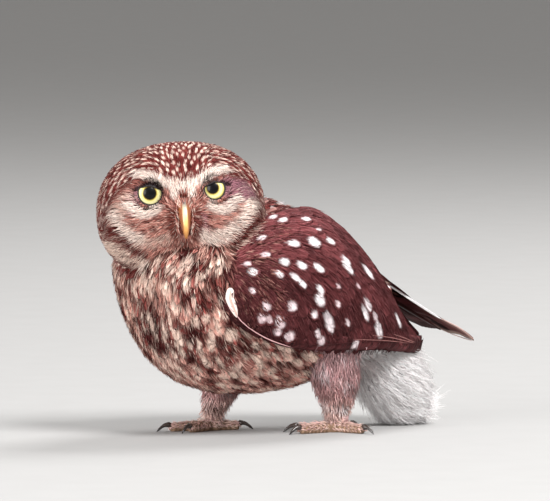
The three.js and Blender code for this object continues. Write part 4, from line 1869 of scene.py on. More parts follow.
# Pale and dark marks of the breast, as places on that part
PALE_MARKS = (
    Seen(180, 500, 1.2, 2.3, 0.5), Seen(265, 530, 1.5, 3.5, 1), Seen(335, 500, 1.1, 2.8, 0.9),
    Seen(300, 630, 1, 2.4, 0.7), Seen(255, 740, 0.9, 2.4, 0.8), Seen(350, 770, 1, 1.9, 0.8),
    Seen(580, 500, 2.5, 3.3, 0.9), Seen(670, 680, 1.6, 3.5, 0.9), Seen(610, 740, 0.7, 6, 0.9),
    Seen(640, 880, 0.7, 5.2, 0.9), Seen(790, 440, 1.8, 3.3, 1), Seen(900, 400, 0.7, 2.8, 0.9),
    Seen(950, 370, 1.8, 1.4, 0.8), Seen(800, 740, 2, 1.7, 0.6), Seen(880, 830, 2, 2.6, 0.9),
    Seen(990, 790, 1.8, 1.8, 0.9), Seen(1180, 770, 2.1, 2.1, 0.8), Seen(870, 640, 0.9, 4.2, 0.5),
    Seen(570, 900, 1.2, 4.4, 0.9), Seen(575, 1010, 0.8, 4.4, 0.8), Seen(470, 940, 1.8, 4.2, 0.35),
    Seen(310, 900, 1.5, 3.3, 0.5), Seen(345, 1050, 0.8, 5, 0.95), Seen(480, 1150, 1.9, 4.7, 0.6),
    Seen(1250, 960, 3.2, 3, 0.9), Seen(1310, 1290, 2.8, 2.4, 0.5), Seen(160, 620, 0.8, 2.4, 0.8),
    Seen(205, 640, 0.8, 2.2, 0.9), Seen(490, 220, 2.6, 2.6, 0.6), Seen(620, 300, 2.3, 2.3, 0.7),
    Seen(1030, 300, 1.4, 2.3, 0.6),
)
DARK_MARKS = (
    Seen(285, 840, 2, 3, 1), Seen(420, 1010, 1.8, 3.5, 1), Seen(560, 1110, 1.9, 3, 1),
    Seen(232, 590, 0.7, 2.6, 0.8), Seen(1010, 620, 3.8, 5.6, 0.5), Seen(760, 640, 1.5, 2.8, 0.7),
    Seen(900, 910, 3.8, 1.9, 0.8), Seen(450, 680, 2.3, 6, 0.55), Seen(1240, 850, 3.2, 2.4, 0.9),
    Seen(130, 560, 0.8, 2.8, 0.8), Seen(700, 860, 1.9, 2.8, 0.6),
)


@dataclass
class BodyCoat:
    """The neck, breast, flanks, belly and back."""

    outline: Outline
    where: tuple[Region, ...] = (Region.NECK, Region.TRUNK)
    breast_end: float = -46.0
    mark_gap: float = 4.4
    clear_of_seen: float = 5.5
    white_gap: float = 6.5
    marks: Marks = field(init=False)

    def __post_init__(self) -> None:
        """Lay out the marks: those of the seen side, and others spread over the rest."""
        rng = np.random.default_rng(33)
        placed = np.array([
            [*self.outline.seen(*BREAST_CROP.pixel(m.across, m.down)), m.width, m.length, m.share]
            for m in DARK_MARKS + PALE_MARKS
        ])
        pale = np.arange(len(placed)) >= len(DARK_MARKS)

        def rest(points: Array, normals: Array) -> Array:
            """Which places are clear of the marks that the photograph shows."""
            gaps = np.linalg.norm(points[:, None] - placed[None, :, :3], axis=2).min(1)
            return (gaps > self.clear_of_seen) & ~self._is_back(points, normals) & (points[:, 2] < 84)

        extra = self.outline.scatter(self.where, self.mark_gap, rest, 34)
        number = len(extra)
        light = rng.random(number) < 0.52
        sizes = [rng.uniform(low, high, number) for low, high in ((0.9, 2.1), (2.2, 4.8), (0.6, 0.97))]
        rows = np.concatenate([placed, np.concatenate([extra, np.stack(sizes, 1)], 1)])
        pale = np.concatenate([pale, light])
        spots, normals = self.outline.nearest(rows[:, :3])
        tones = [Tint.CREAM if p else Tint.BREAST_DARK for p in pale]
        marks = [
            Mark(*row)
            for row in zip(
                spots, Lie.body(spots, normals), normals, rows[:, 4], rows[:, 3], tones, rows[:, 5]
            )
        ]
        white = self.outline.scatter(self.where, self.white_gap, self._is_back, 36)
        spots, normals = self.outline.nearest(white)
        for row in zip(spots, Lie.body(spots, normals), normals):
            marks.append(Mark(*row, rng.uniform(1.4, 2.4), rng.uniform(0.9, 1.5), Tint.WHITE, 0.95))
        self.marks = Marks(marks, 35)

    def _clear(self, plumes: Plumes) -> Array:
        """Which plumes end clear of the wings and the head, and do not jump.

        Args:
            plumes: the plumes.

        Returns:
            True for each plume that does.
        """
        others = [REGIONS.index(r) for r in REGIONS if r.value.startswith(("wing", "head", "leg"))]
        apart = ~np.isin(self.outline.region(plumes.centres[:, -2]), others)
        apart &= self.outline.region(plumes.centres[:, 2]) != REGIONS.index(Region.HEAD)
        reach = np.linalg.norm(np.diff(plumes.centres, axis=1), axis=2).sum(1)
        span = np.linalg.norm(plumes.centres[:, -1] - plumes.centres[:, 0], axis=1)
        return apart & (span > 0.72 * reach)

    @staticmethod
    def _unwrap(points: Array) -> Array:
        """Places on the body's unwrap."""
        return unwrap(points, (0, -10, 65), (0, 0.97, -0.25))

    def _vanes(self, keep: PlaceRule, gap: float, length: float, half: float, seed: int) -> Plumes:
        """Soft vanes with long pale spots and dark shafts.

        Args:
            keep: which places take them.
            gap: how far apart their roots are.
            length: how long they are.
            half: half of how wide they are.
            seed: makes their layout repeatable.

        Returns:
            The plumes.
        """
        bed = Bed(self.outline, VANE, Lie.body, self.where, gap, keep, seed)
        rng, count = bed.rng, bed.count
        throat = 1 - 0.45 * smooth(70, 84, bed.roots[:, 2])
        plumes = bed.lay(
            length * throat * near_one(rng, count, 0.1), half * throat * near_one(rng, count, 0.1),
            sink=3.2, lift=0.3, stray=8,
        )
        chosen = self._clear(plumes)
        plumes = plumes.only(chosen)
        plumes.ragged = 1.0
        base = Markings.body(plumes.centres[:, -2])
        plumes.colours = Pattern(
            base=base * brightness(rng, plumes.count, 0.12),
            rim=blend(base, Tint.CREAM, np.full(plumes.count, 0.5)),
            rim_share=0.3 * rng.random(plumes.count),
            streak=np.tile(Tint.BREAST_DARK, (plumes.count, 1)),
            streak_share=0.35, streak_width=0.3, fibre=0.3,
        ).colours(VANE)
        plumes.colours = self.marks.over(plumes.vertices(), plumes.colours)
        plumes.cells = self._unwrap(bed.roots[chosen])
        return plumes

    def _strands(self, keep: PlaceRule, gap: float, length: float, seed: int) -> Plumes:
        """Hair-like plumes, some pale and some dark, that break up the vanes.

        Args:
            keep: which places take them.
            gap: how far apart their roots are.
            length: how long they are.
            seed: makes their layout repeatable.

        Returns:
            The plumes.
        """
        bed = Bed(self.outline, SPIKE, Lie.body, self.where, gap, keep, seed)
        rng, count = bed.rng, bed.count
        plumes = bed.lay(
            length * near_one(rng, count, 0.2), 0.13 + 0.15 * rng.random(count), sink=1.2,
            lift=rng.uniform(0.3, 1.2, count), stray=13, free=0.75,
        )
        chosen = self._clear(plumes)
        plumes = plumes.only(chosen)
        kind = rng.random(plumes.count)
        tone = blend(Markings.body(plumes.centres[:, 2]), Tint.CREAM, some(rng, kind < 0.3, 0.2, 0.85))
        tone = blend(tone, Tint.BREAST_DARK, some(rng, kind > 0.7, 0.3, 0.9))
        plumes.colours = Pattern(base=tone, fibre=0.1).colours(SPIKE)
        plumes.colours = self.marks.over(plumes.vertices(), plumes.colours)
        plumes.cells = self._unwrap(bed.roots[chosen])
        return plumes

    @staticmethod
    def _is_back(points: Array, normals: Array) -> Array:
        """Which places belong to the mantle, back and rump."""
        return (normals[:, 2] > 0.25) & (points[:, 2] > 62) & (points[:, 1] > -52)

    def _is_breast(self, points: Array, normals: Array) -> Array:
        """Which places belong to the neck's front and the breast."""
        return ~self._is_back(points, normals) & (points[:, 1] < self.breast_end)

    def _is_belly(self, points: Array, normals: Array) -> Array:
        """Which places belong to the flanks, belly and vent."""
        return ~self._is_back(points, normals) & (points[:, 1] >= self.breast_end)

    def breast(self, finish: bpy.types.Material) -> bpy.types.Object:
        """The neck's front and the breast.

        Args:
            finish: the finish that it takes.

        Returns:
            The new object.
        """
        vanes = self._vanes(self._is_breast, gap=2.6, length=13.0, half=2.1, seed=41)
        strands = self._strands(self._is_breast, gap=0.95, length=7.5, seed=45)
        return Coat("coat_breast", 0.005, vanes, strands).build(finish, "plumage")

    def belly(self, finish: bpy.types.Material) -> bpy.types.Object:
        """The flanks, belly and vent.

        Args:
            finish: the finish that it takes.

        Returns:
            The new object.
        """
        vanes = self._vanes(self._is_belly, gap=2.8, length=14.0, half=2.0, seed=51)
        strands = self._strands(self._is_belly, gap=1.15, length=9.0, seed=55)
        return Coat("coat_belly", 0.005, vanes, strands).build(finish, "plumage")

    def back(self, finish: bpy.types.Material) -> bpy.types.Object:
        """The mantle and rump, dark with white spots, and the wings' shoulders.

        Args:
            finish: the finish that it takes.

        Returns:
            The new object.
        """
        vanes = self._vanes(self._is_back, gap=2.7, length=12.0, half=2.3, seed=61)
        strands = self._strands(self._is_back, gap=1.7, length=7.0, seed=65)
        return Coat("coat_back", 0.005, vanes, strands, self._shoulders()).build(finish, "plumage")

    @staticmethod
    def _is_shoulder(points: Array, normals: Array) -> Array:
        """Which places belong to the folded wings' front edges."""
        return (normals[:, 1] < -0.15) & (points[:, 1] < -30)

    def _shoulders(self) -> Plumes:
        """Small feathers over the folded wings' front edges.

        Returns:
            The feathers.
        """
        wings = [Region.WING_LEFT, Region.WING_RIGHT]
        bed = Bed(self.outline, SPIKE, Lie.body, wings, 1.5, self._is_shoulder, 68)
        rng, count = bed.rng, bed.count
        plumes = bed.lay(
            rng.uniform(5, 8, count), rng.uniform(0.4, 0.8, count), sink=1.0, lift=0.6, stray=12
        )
        tone = blend(Tint.MANTLE, Tint.BREAST_PALE, rng.uniform(0, 0.6, count) ** 2)
        plumes.colours = Pattern(base=tone, fibre=0.15).colours(SPIKE)
        plumes.cells = self._unwrap(bed.roots)
        return plumes


@dataclass
class HindCoat:
    """The undertail puff and the feathered legs and toes."""

    outline: Outline

    def undertail(self, finish: bpy.types.Material) -> bpy.types.Object:
        """Long loose white plumes that hang below the tail.

        Args:
            finish: the finish that it takes.

        Returns:
            The new object.
        """
        bed = Bed(self.outline, SPIKE, Lie.puff, [Region.UNDERTAIL], 0.7, None, 71)
        rng, count, roots = bed.rng, bed.count, bed.roots
        plumes = bed.lay(
            11 + 7 * rng.random(count) + 8 * (rng.random(count) < 0.08),
            0.11 + 0.14 * rng.random(count), sink=3.2, lift=0.3 + 3.4 * rng.random(count) ** 3,
            stray=15, free=0.6,
        )
        # Painted shade: the front of the puff, near the legs and under the body, is lilac-brown; whiter
        # towards the back
        back = smooth(14, 34, roots[:, 1] - 0.3 * (roots[:, 2] - 30))
        tone = blend(Tint.PUFF_PAINTED_SHADE, Tint.PUFF, 0.25 + 0.75 * back) * brightness(rng, count, 0.06)
        plumes.colours = Pattern(base=tone, root_painted_shade=0.1).colours(SPIKE)
        plumes.cells = unwrap(roots, (0, 55, 30), (0, 0.4, -0.9))
        return Coat("coat_undertail", 0.004, plumes).build(finish, "pale_plumage")

    def _leg(self, region: Region, seed: int) -> Plumes:
        """Soft buff feathers down one leg.

        Args:
            region: the part of the bird.
            seed: makes the layout repeatable.

        Returns:
            The feathers.
        """
        bed = Bed(self.outline, SPIKE, Lie.leg, [region], 0.85, None, seed)
        rng, count, roots = bed.rng, bed.count, bed.roots
        z = roots[:, 2]
        plumes = bed.lay(
            3.4 + 7 * smooth(8, 34, z), 0.16 + 0.2 * rng.random(count), sink=1.4,
            lift=0.4 + 1.6 * rng.random(count) ** 2, stray=16, free=0.7,
        )
        tone = blend(Tint.LEG_BROWN, Tint.LEG, rng.uniform(0.2, 1, count))
        tone = blend(tone, Tint.LILAC, smooth(24, 40, z) * 0.4)
        tone = blend(tone, Tint.CREAM, smooth(24, 10, z) * 0.45)
        tone = tone * np.exp(0.45 * ripple(roots, 9, seed) + 0.25 * ripple(roots, 4, seed + 1))[:, None]
        tone = blend(tone, Tint.WHITE, np.clip(0.7 * ripple(roots, 12, seed + 3) - 0.2, 0, 0.7))
        plumes.colours = Pattern(base=tone).colours(SPIKE)
        plumes.cells = unwrap(roots, roots.mean(0), (0, 0, 1)) + [0, 60 * (seed % 2)]
        return plumes

    @staticmethod
    def _toe_tops(points: Array, normals: Array) -> Array:
        """Which places of the feet take bristles."""
        return (normals[:, 2] > -0.35) & (points[:, 2] > 1.6)

    def _toes(self, region: Region, seed: int) -> Plumes:
        """Short pale bristles over the toes of one foot.

        Args:
            region: the part of the bird.
            seed: makes the layout repeatable.

        Returns:
            The bristles.
        """
        low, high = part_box(region.value)
        middle = (np.array(low) + np.array(high)) / 2 / MM

        def outwards(points: Array, normals: Array) -> Array:
            """The way from the middle of the foot to each place."""
            return Lie.along((points - middle) * np.array([1, 1, 0.1]), normals)

        bed = Bed(self.outline, SPIKE, outwards, [region], 0.72, self._toe_tops, seed)
        rng, count = bed.rng, bed.count
        plumes = bed.lay(
            2.0 + 1.6 * rng.random(count), 0.1 + 0.07 * rng.random(count), sink=0.2,
            lift=0.2 + 0.6 * rng.random(count), stray=20, free=0.6,
        )
        tone = blend(Tint.LEG, Tint.CREAM, rng.uniform(0, 0.9, count))
        plumes.colours = Pattern(base=tone).colours(SPIKE)
        plumes.cells = unwrap(bed.roots, middle, (0, 0, 1)) + [0, 60 * (seed % 3)]
        return plumes

    def legs(self, finish: bpy.types.Material) -> bpy.types.Object:
        """The feathers of both legs and feet.

        Args:
            finish: the finish that it takes.

        Returns:
            The new object.
        """
        groups = (
            self._leg(Region.LEG_LEFT, 81), self._leg(Region.LEG_RIGHT, 86),
            self._toes(Region.FOOT_LEFT, 91), self._toes(Region.FOOT_RIGHT, 95),
        )
        return Coat("coat_legs", 0.004, *groups).build(finish, "leg_plumage")


# Wings and tail


@dataclass(frozen=True)
class Rib:
    """One line across a folded wing: its top and bottom ends, its bulge and the wing's thickness."""

    top: tuple[float, float, float]
    bottom: tuple[float, float, float]
    bow: float
    thick: float


@dataclass(frozen=True)
class WingSheet:
    """The outer face of a folded wing, from the shoulder at t 0 to the tip, f from top to bottom."""

    side: int
    ribs: tuple[Rib, ...]
    shift: tuple[float, float] = (-0.155, -49.87)
    edge: float = 0.35
    spans: float = 5.0
    lattice: tuple[int, int] = (281, 201)

    def _between(self, t: Array) -> Array:
        """The ribs' numbers on a smooth curve through them, at t.

        Args:
            t: how far along the sheet each place is, from 0 at the shoulder.

        Returns:
            Eight numbers for each place.
        """
        table = np.array([(*r.top, *r.bottom, r.bow, r.thick) for r in self.ribs], float)
        place = t * self.spans
        step = np.clip(np.floor(place).astype(int), 0, len(table) - 2)
        f = (place - step)[..., None]
        a, b, c, d = (table[np.clip(step + k, 0, len(table) - 1)] for k in (-1, 0, 1, 2))
        slope, bend, twist = c - a, 2 * a - 5 * b + 4 * c - d, 3 * b - a - 3 * c + d
        return 0.5 * (2 * b + slope * f + bend * f**2 + twist * f**3)

    @property
    def end(self) -> float:
        """The largest t."""
        return (len(self.ribs) - 1) / self.spans

    def place(self, t: Array, f: Array, height: Array | float = 0.0) -> Array:
        """Points on the sheet, or height above it, in millimetres.

        Args:
            t: how far along the sheet each place is, from 0 at the shoulder.
            f: how far down the sheet each place is, from 0 to 1.
            height: how far over the sheet each point is, in millimetres.

        Returns:
            The points.
        """
        v = self._between(t)
        side = np.array([self.side, 1, 1])
        top, bottom = v[..., :3] * side, v[..., 3:6] * side

        def middle(at: Array) -> Array:
            """The middle of the sheet at t."""
            w = self._between(at)
            return (w[..., :3] + w[..., 3:6]) * side / 2

        ahead = unit(middle(np.minimum(t + 0.01, self.end)) - middle(np.maximum(t - 0.01, 0)))
        out = unit(np.cross(top - bottom, ahead))
        out = out * np.where(out[..., :1] * self.side < 0, -1, 1)
        g = f[..., None]
        bow = 1 - (2 * g - 1) ** 2
        half = v[..., 7:8] / 2 * (self.edge + (1 - self.edge) * np.sqrt(np.maximum(bow, 0)))
        rise = v[..., 6:7] * bow + half + np.asarray(height)[..., None]
        return top + (bottom - top) * g + out * rise + np.array([*self.shift, 0])

    def seen(self, pixels: Array) -> tuple[Array, Array]:
        """Where on the sheet, as t and f, the photograph's pixels are.

        Args:
            pixels: the pixels, across and down.

        Returns:
            t and f for each pixel.
        """
        ends = zip((self.end, 1), self.lattice)
        t, f = (v.ravel() for v in np.meshgrid(*(np.linspace(0, *e) for e in ends), indexing="ij"))
        shown = PHOTO.pixels(self.place(t, f))
        nearest = [((shown - pixel) ** 2).sum(1).argmin() for pixel in pixels]
        return t[nearest], f[nearest]

    def frame_at(self, t: Array, f: Array) -> tuple[Array, Array, Array]:
        """The steps along t and f, and the outward normal.

        Args:
            t: how far along the sheet each place is, from 0 at the shoulder.
            f: how far down the sheet each place is, from 0 to 1.

        Returns:
            Three vectors for each place.
        """
        d = 0.01
        along = (self.place(np.minimum(t + d, self.end), f) - self.place(np.maximum(t - d, 0), f))
        span = np.minimum(t + d, self.end) - np.maximum(t - d, 0)
        along = along / np.maximum(span, 1e-6)[..., None]
        down = (self.place(t, f + d) - self.place(t, f - d)) / (2 * d)
        normal = unit(np.cross(along, down))
        outward = self.place(t, f, 1.0) - self.place(t, f)
        normal = normal * np.where((normal * outward).sum(-1, keepdims=True) < 0, -1, 1)
        return along, down, normal


NEAR_WING = WingSheet(1, (
    Rib((32, -2, 88), (34, -11, 62), 3.5, 4), Rib((30, 17, 102), (39, 7, 49), 8, 6),
    Rib((26, 42, 106), (39, 32, 41), 10, 6), Rib((20, 63, 97), (35, 55, 38), 9, 5.5),
    Rib((19, 81, 80), (28, 80, 37), 5.5, 4.5), Rib((17, 96, 59), (20, 100, 37), 2.5, 3),
    Rib((14, 108, 46), (14, 112, 38), 1, 2), Rib((13, 112, 43), (13, 114, 40), 0.5, 1.4),
))
FAR_WING = WingSheet(-1, (
    Rib((32, 0, 88), (34, -9, 62), 3.5, 4), Rib((30, 19, 102), (39, 9, 49), 8, 6),
    Rib((26, 44, 106), (38, 34, 43), 10, 6), Rib((20, 65, 97), (33, 58, 42), 9, 5.5),
    Rib((16, 87, 84), (25, 86, 43), 5.5, 4.5), Rib((13, 106, 70), (16, 108, 51), 2, 3),
    Rib((1, 121, 57.2), (13, 121, 53.4), 1.2, 2.2), Rib((-3, 132, 49.8), (8, 133, 46.6), 1, 2),
    Rib((-4, 142, 45), (3, 143, 41.5), 0.6, 1.7), Rib((-3, 151, 39.2), (-1, 151, 38.2), 0.2, 1.2),
))


@dataclass(frozen=True)
class Spot:
    """A pale spot near a covert's tip: its place on the sheet, half length, half width and whiteness."""

    t: float
    f: float
    length: float = 2.2
    width: float = 1.3
    white: float = 1.0


# Clear spots of the near wing
SEEN_SPOTS = (
    Seen(272, 214, 1.1, 2, 0.8), Seen(283, 220, 1.1, 2.2, 0.9), Seen(307, 219, 1, 2.2, 1),
    Seen(314, 242, 2.2, 3.2, 1), Seen(331, 241, 1.4, 2.6, 1), Seen(294, 243, 1.7, 2.8, 0.9),
    Seen(319, 230, 0.8, 1.2, 0.5), Seen(285, 262, 1.8, 2.4, 1), Seen(302, 265, 1.6, 2.6, 0.9),
    Seen(319, 268, 1.7, 3, 0.9), Seen(348, 267, 1.9, 4.2, 1), Seen(346, 260, 1.3, 3, 1),
    Seen(368, 272, 1.8, 4.2, 1), Seen(279, 274, 1.4, 2.1, 0.8), Seen(295, 277, 1.4, 2.4, 0.9),
    Seen(303, 284, 1.2, 2.4, 0.9), Seen(320, 290, 1.3, 2.6, 1), Seen(253, 272, 2, 2, 1),
    Seen(253, 291, 1.3, 1.6, 0.5), Seen(266, 306, 1.8, 2.1, 0.6), Seen(292, 306, 2.2, 2.4, 0.6),
    Seen(262, 319, 1.8, 2.2, 0.4), Seen(269, 319, 1.4, 2, 0.3), Seen(280, 322, 2.2, 3.2, 0.5),
    Seen(278, 332, 1.8, 2, 0.4), Seen(290, 336, 2.4, 2.4, 0.5), Seen(320, 300, 2.3, 3.2, 0.9),
    Seen(315, 314, 1.5, 1.9, 0.8), Seen(338, 304, 1.2, 1.6, 0.5), Seen(329, 322, 2.2, 5.4, 0.8),
    Seen(365, 313, 1.6, 4, 0.9), Seen(368, 305, 1.5, 3.4, 0.8), Seen(379, 330, 2, 4.4, 0.9),
    Seen(398, 320, 1.2, 3.8, 1), Seen(355, 345, 2.1, 2.4, 0.7),
)
# Fainter spots between them, placed straight on the sheet
FAINT_SPOTS = (
    Spot(0.45, 0.93, 2.2, 1.9, 0.5), Spot(0.42, 0.89, 2.2, 1.2, 0.6), Spot(0.56, 0.79, 1.8, 1.0, 0.6),
    Spot(0.72, 0.68, 2.6, 1.1, 0.6), Spot(0.60, 0.50, 1.6, 0.9, 0.3), Spot(0.47, 0.55, 1.4, 0.9, 0.3),
    Spot(0.16, 0.30, 2.0, 1.3, 0.5), Spot(0.08, 0.33, 1.7, 1.3, 0.4), Spot(0.15, 0.12, 2.0, 1.2, 0.6),
)


def wing_spots() -> list[Spot]:
    """All spots of a wing, at the same places on either sheet.

    Returns:
        The spots.
    """
    t, f = NEAR_WING.seen(np.array([(spot.across, spot.down) for spot in SEEN_SPOTS], float))
    seen = [Spot(*place, s.length, s.width, s.share) for *place, s in zip(t, f, SEEN_SPOTS)]
    return [*seen, *FAINT_SPOTS]


SPOTS = wing_spots()


@dataclass(frozen=True)
class Trim:
    """One narrow feather along a line on the sheet, flat or on its edge."""

    line: Line
    half: float
    height: float
    tone: Colour
    upright: bool = False


ALULA = Trim(((0.0, 0.66), (0.02, 0.82), (0.09, 0.99)), 2.0, 0.5, (248, 228, 220))
EDGE_PINK, REAR_PINK = (224, 176, 176), (168, 116, 112)
# The first tone is painted shade, the darkness of the far wing's shaded underside; the brown and the pale
# edges are the tips' own colours
TIP_PAINTED_SHADE, TIP_BROWN, TIP_PALE = (34, 16, 16), (92, 56, 50), (206, 172, 164)
# The bastard wing and its shaft, the front edge, three rear edges and the dark hook at the tip
NEAR_TRIMS = (
    ALULA,
    Trim(((0.004, 0.7), (0.028, 0.84), (0.09, 0.98)), 0.4, 0.8, (226, 188, 174)),
    Trim(((0.03, 0.93), (0.12, 1.0), (0.24, 1.01), (0.34, 1.01)), 0.25, 0.5, EDGE_PINK),
    Trim(((0.62, 0.9), (0.75, 0.885), (0.9, 0.87), (1.0, 0.868)), 0.16, 0.45, REAR_PINK),
    Trim(((0.72, 0.85), (0.86, 0.835), (1.0, 0.83), (1.08, 0.85)), 0.16, 0.45, REAR_PINK),
    Trim(((0.86, 0.79), (0.98, 0.785), (1.09, 0.82)), 0.16, 0.45, REAR_PINK),
    Trim(((1.06, 0.8), (1.14, 0.95), (1.187, 1.17)), 1.0, 0.1, (52, 22, 22)),
)
# Three long feathers, two black as painted shade, a painted white highlight edge, pale edges and the bastard
# wing
FAR_TRIMS = (
    # Painted shade: two black long feathers for the wing's shaded underside
    Trim(((0.7, 0.06), (0.95, 0.1), (1.15, 0.28), (1.4, 0.5)), 3.4, -0.3, TIP_PAINTED_SHADE),
    Trim(((0.8, 0.3), (1.05, 0.4), (1.25, 0.6), (1.55, 0.8)), 4.4, -0.6, TIP_PAINTED_SHADE),
    Trim(((1.0, 0.25), (1.2, 0.4), (1.5, 0.5), (1.8, 0.5)), 3.2, -0.4, TIP_BROWN),
    # Painted highlight: a white edge standing up along the top of the long feathers
    Trim(
        ((0.99, 0.0), (1.1, 0.01), (1.2, 0.03), (1.3, 0.05), (1.41, 0.08)), 0.55, -0.7, (255, 250, 250), True
    ),
    Trim(((1.4, 0.1), (1.5, 0.06), (1.65, 0.04), (1.79, 0.2)), 0.3, -0.5, TIP_PALE, True),
    Trim(((1.45, 0.98), (1.6, 0.96), (1.7, 0.9), (1.79, 0.75)), 0.3, -0.8, TIP_PALE, True),
    ALULA,
)


@dataclass
class Wing:
    """One folded wing: coverts over secondaries and primaries."""

    name: str
    sheet: WingSheet
    seed: int
    covert_gap: float = 5.6
    primaries: int = 7
    secondaries: int = 9
    slope_top: float = 8.0
    slope_low: float = 50.0
    strand_count: int = 4600
    covert_grid: tuple[int, int] = (34, 15)
    trims: tuple[Trim, ...] = ()
    barred: bool = True

    def _slope(self, t: Array, f: Array) -> Array:
        """How steeply the coverts run down across the sheet, in radians."""
        steep = self.slope_top + (self.slope_low - self.slope_top) * smooth(0.0, 0.85, f)
        return np.radians(steep * (1 - smooth(0.95, self.sheet.end, t)))

    def _run(
        self, t: Array, f: Array, lengths: Array, form: Form, turn: Array, back: bool = False
    ) -> tuple[Array, Array]:
        """Follow the coverts' way over the sheet.

        Args:
            t, f: the places of the roots, or of the tips.
            lengths: how long the plumes are.
            form: their form.
            turn: how far each turns from the usual way, in radians.
            back: whether the places are those of the tips.

        Returns:
            t and f at every station of each plume.
        """
        ts, fs = [t], [f]
        steps = np.diff(form.stations)
        for step in (steps[::-1] if back else steps):
            along, down, _ = self.sheet.frame_at(t, f)
            slope = self._slope(t, f) + turn
            size = lengths * step * (-1 if back else 1)
            t = t + np.cos(slope) * size / np.maximum(np.linalg.norm(along, axis=1), 1)
            f = f + np.sin(slope) * size / np.maximum(np.linalg.norm(down, axis=1), 1)
            t = np.clip(t, 0.0, self.sheet.end)
            f = np.clip(f, -0.02, 1.0 - 0.13 * smooth(0.1, 1.0, t))
            ts.append(t)
            fs.append(f)
        if back:
            ts, fs = ts[::-1], fs[::-1]
        return np.stack(ts, 1), np.stack(fs, 1)

    def _plumes(
        self, t: Array, f: Array, form: Form, half: Array, sink: float, lift: Array | float
    ) -> Plumes:
        """Plumes whose middle lines run through places on the sheet.

        Args:
            t: how far along the sheet each place is, from 0 at the shoulder.
            f: how far down the sheet each place is, from 0 to 1.
            form: the form of the plumes.
            half: half of how wide they are.
            sink: how far the roots lie under the sheet.
            lift: how far the tips stand over it.

        Returns:
            The plumes, without colours.
        """
        s = np.array(form.stations)
        rise = -sink * (1 - s) ** 1.3 + np.reshape(lift, (-1, 1)) * s**1.2
        rise = np.broadcast_to(rise, t.shape)
        centres = self.sheet.place(t, f, rise)
        _, _, normals = self.sheet.frame_at(t, f)
        return Plumes(form, centres, normals, half)

    def _marks(self) -> Marks:
        """The wing's spots as marks in space.

        Returns:
            The marks.
        """
        made = []
        for spot in SPOTS:
            t, f = np.array([spot.t]), np.array([spot.f])
            a, d, normal = (v[0] for v in self.sheet.frame_at(t, f))
            slope = float(self._slope(t, f)[0])
            way = unit(unit(a) * math.cos(slope) + unit(d) * math.sin(slope))
            tone = Tint.LILAC * (1 - spot.white) + Tint.WHITE * spot.white
            middle = self.sheet.place(t, f)[0]
            made.append(Mark(middle, way, normal, spot.length, spot.width, tone, 0.97))
        return Marks(made, self.seed)

    def _zones_and_painted_light(self, t: Array, f: Array) -> Array:
        """Slow light and dark zones over the wing, darker below, painted shade at its tip, painted sheen on
        top.

        Args:
            t: how far along the sheet each place is, from 0 at the shoulder.
            f: how far down the sheet each place is, from 0 to 1.

        Returns:
            A factor near 1 for each place.
        """
        zones = ripple(np.stack([t * 90, f * 50, 0 * t], 1), 16, self.seed + 7)
        low = (1 - 0.32 * smooth(0.4, 0.7, f)) * (1 - 0.4 * smooth(0.86, 1.0, f))
        # Painted sheen: lighter along the top of the wing near the shoulder
        high = 1 + 0.55 * (1 - smooth(0.05, 0.4, f)) * (1 - smooth(0.3, 0.7, t))
        fine = ripple(np.stack([t * 90, f * 50, 0 * t], 1), 7, self.seed + 8)
        # Painted shade: darker towards the wing's tip
        return (1 + 0.26 * zones + 0.14 * fine) * low * high * (1 - 0.6 * smooth(0.98, 1.15, t))

    def _covert_colours(self, plumes: Plumes, base: Array) -> Array:
        """The coverts' colours: streaky brown with the wing's spots over it.

        Args:
            plumes: the plumes.
            base: a colour for each covert.

        Returns:
            The colours, for each covert.
        """
        across, along = plumes.form.grid()
        out = np.repeat(base[:, None], len(across), 1)
        fringe = smooth(0.6, 1.0, np.abs(across)) * smooth(0.5, 0.8, along)
        out = blend(out, Tint.WING_PALE[None, None], 0.18 * fringe[None])
        out = out * fibres(plumes.form, plumes.count, 0.22)[..., None]
        return self._marks().over(plumes.vertices(), out)

    def _strands(self) -> Plumes:
        """Fine strands over the coverts that soften their edges.

        Returns:
            The strands.
        """
        rng = np.random.default_rng(self.seed + 5)
        count = self.strand_count
        t = rng.uniform(0.0, 0.98, count)
        f = rng.uniform(-0.02, 1.02, count)
        ts, fs = self._run(t, f, rng.uniform(3, 6.5, count), SPIKE, np.radians(rng.normal(0, 6, count)))
        strands = self._plumes(ts, fs, SPIKE, rng.uniform(0.1, 0.24, count), sink=0.2, lift=0.5)
        kind = rng.random(count)
        tone = blend(Tint.WING, Tint.WING_PALE, some(rng, kind < 0.25, 0.1, 0.4))
        tone = blend(tone, Tint.WING_DARK, some(rng, kind > 0.7, 0.2, 0.5)) * self._zones_and_painted_light(t, f)[:, None]
        tone = np.repeat(tone[:, None], len(SPIKE.grid()[0]), 1)
        strands.colours = self._marks().over(strands.vertices(), tone)
        strands.cells = np.stack([t, f], 1)
        return strands

    def _covert_roots(self, rng: np.random.Generator) -> tuple[Array, Array]:
        """Places on the sheet for the coverts in rows, with those too near to another left out.

        Args:
            rng: where the random numbers come from.

        Returns:
            t and f of the roots.
        """
        t, f = (v.ravel() for v in np.meshgrid(
            np.linspace(0.0, 0.98, self.covert_grid[0]), np.linspace(0.0, 1.0, self.covert_grid[1]),
            indexing="ij",
        ))
        t = np.clip(t + rng.normal(0, 0.008, len(t)), 0, self.sheet.end)
        f = np.clip(f + rng.normal(0, 0.012, len(f)), 0, 1)
        points = self.sheet.place(t, f)
        kept: list[int] = []
        for i in rng.permutation(len(t)):
            gap = self.covert_gap * (0.6 + 0.55 * t[i])
            if not kept or np.linalg.norm(points[kept] - points[i], axis=1).min() > gap:
                kept.append(i)
        return t[kept], f[kept]

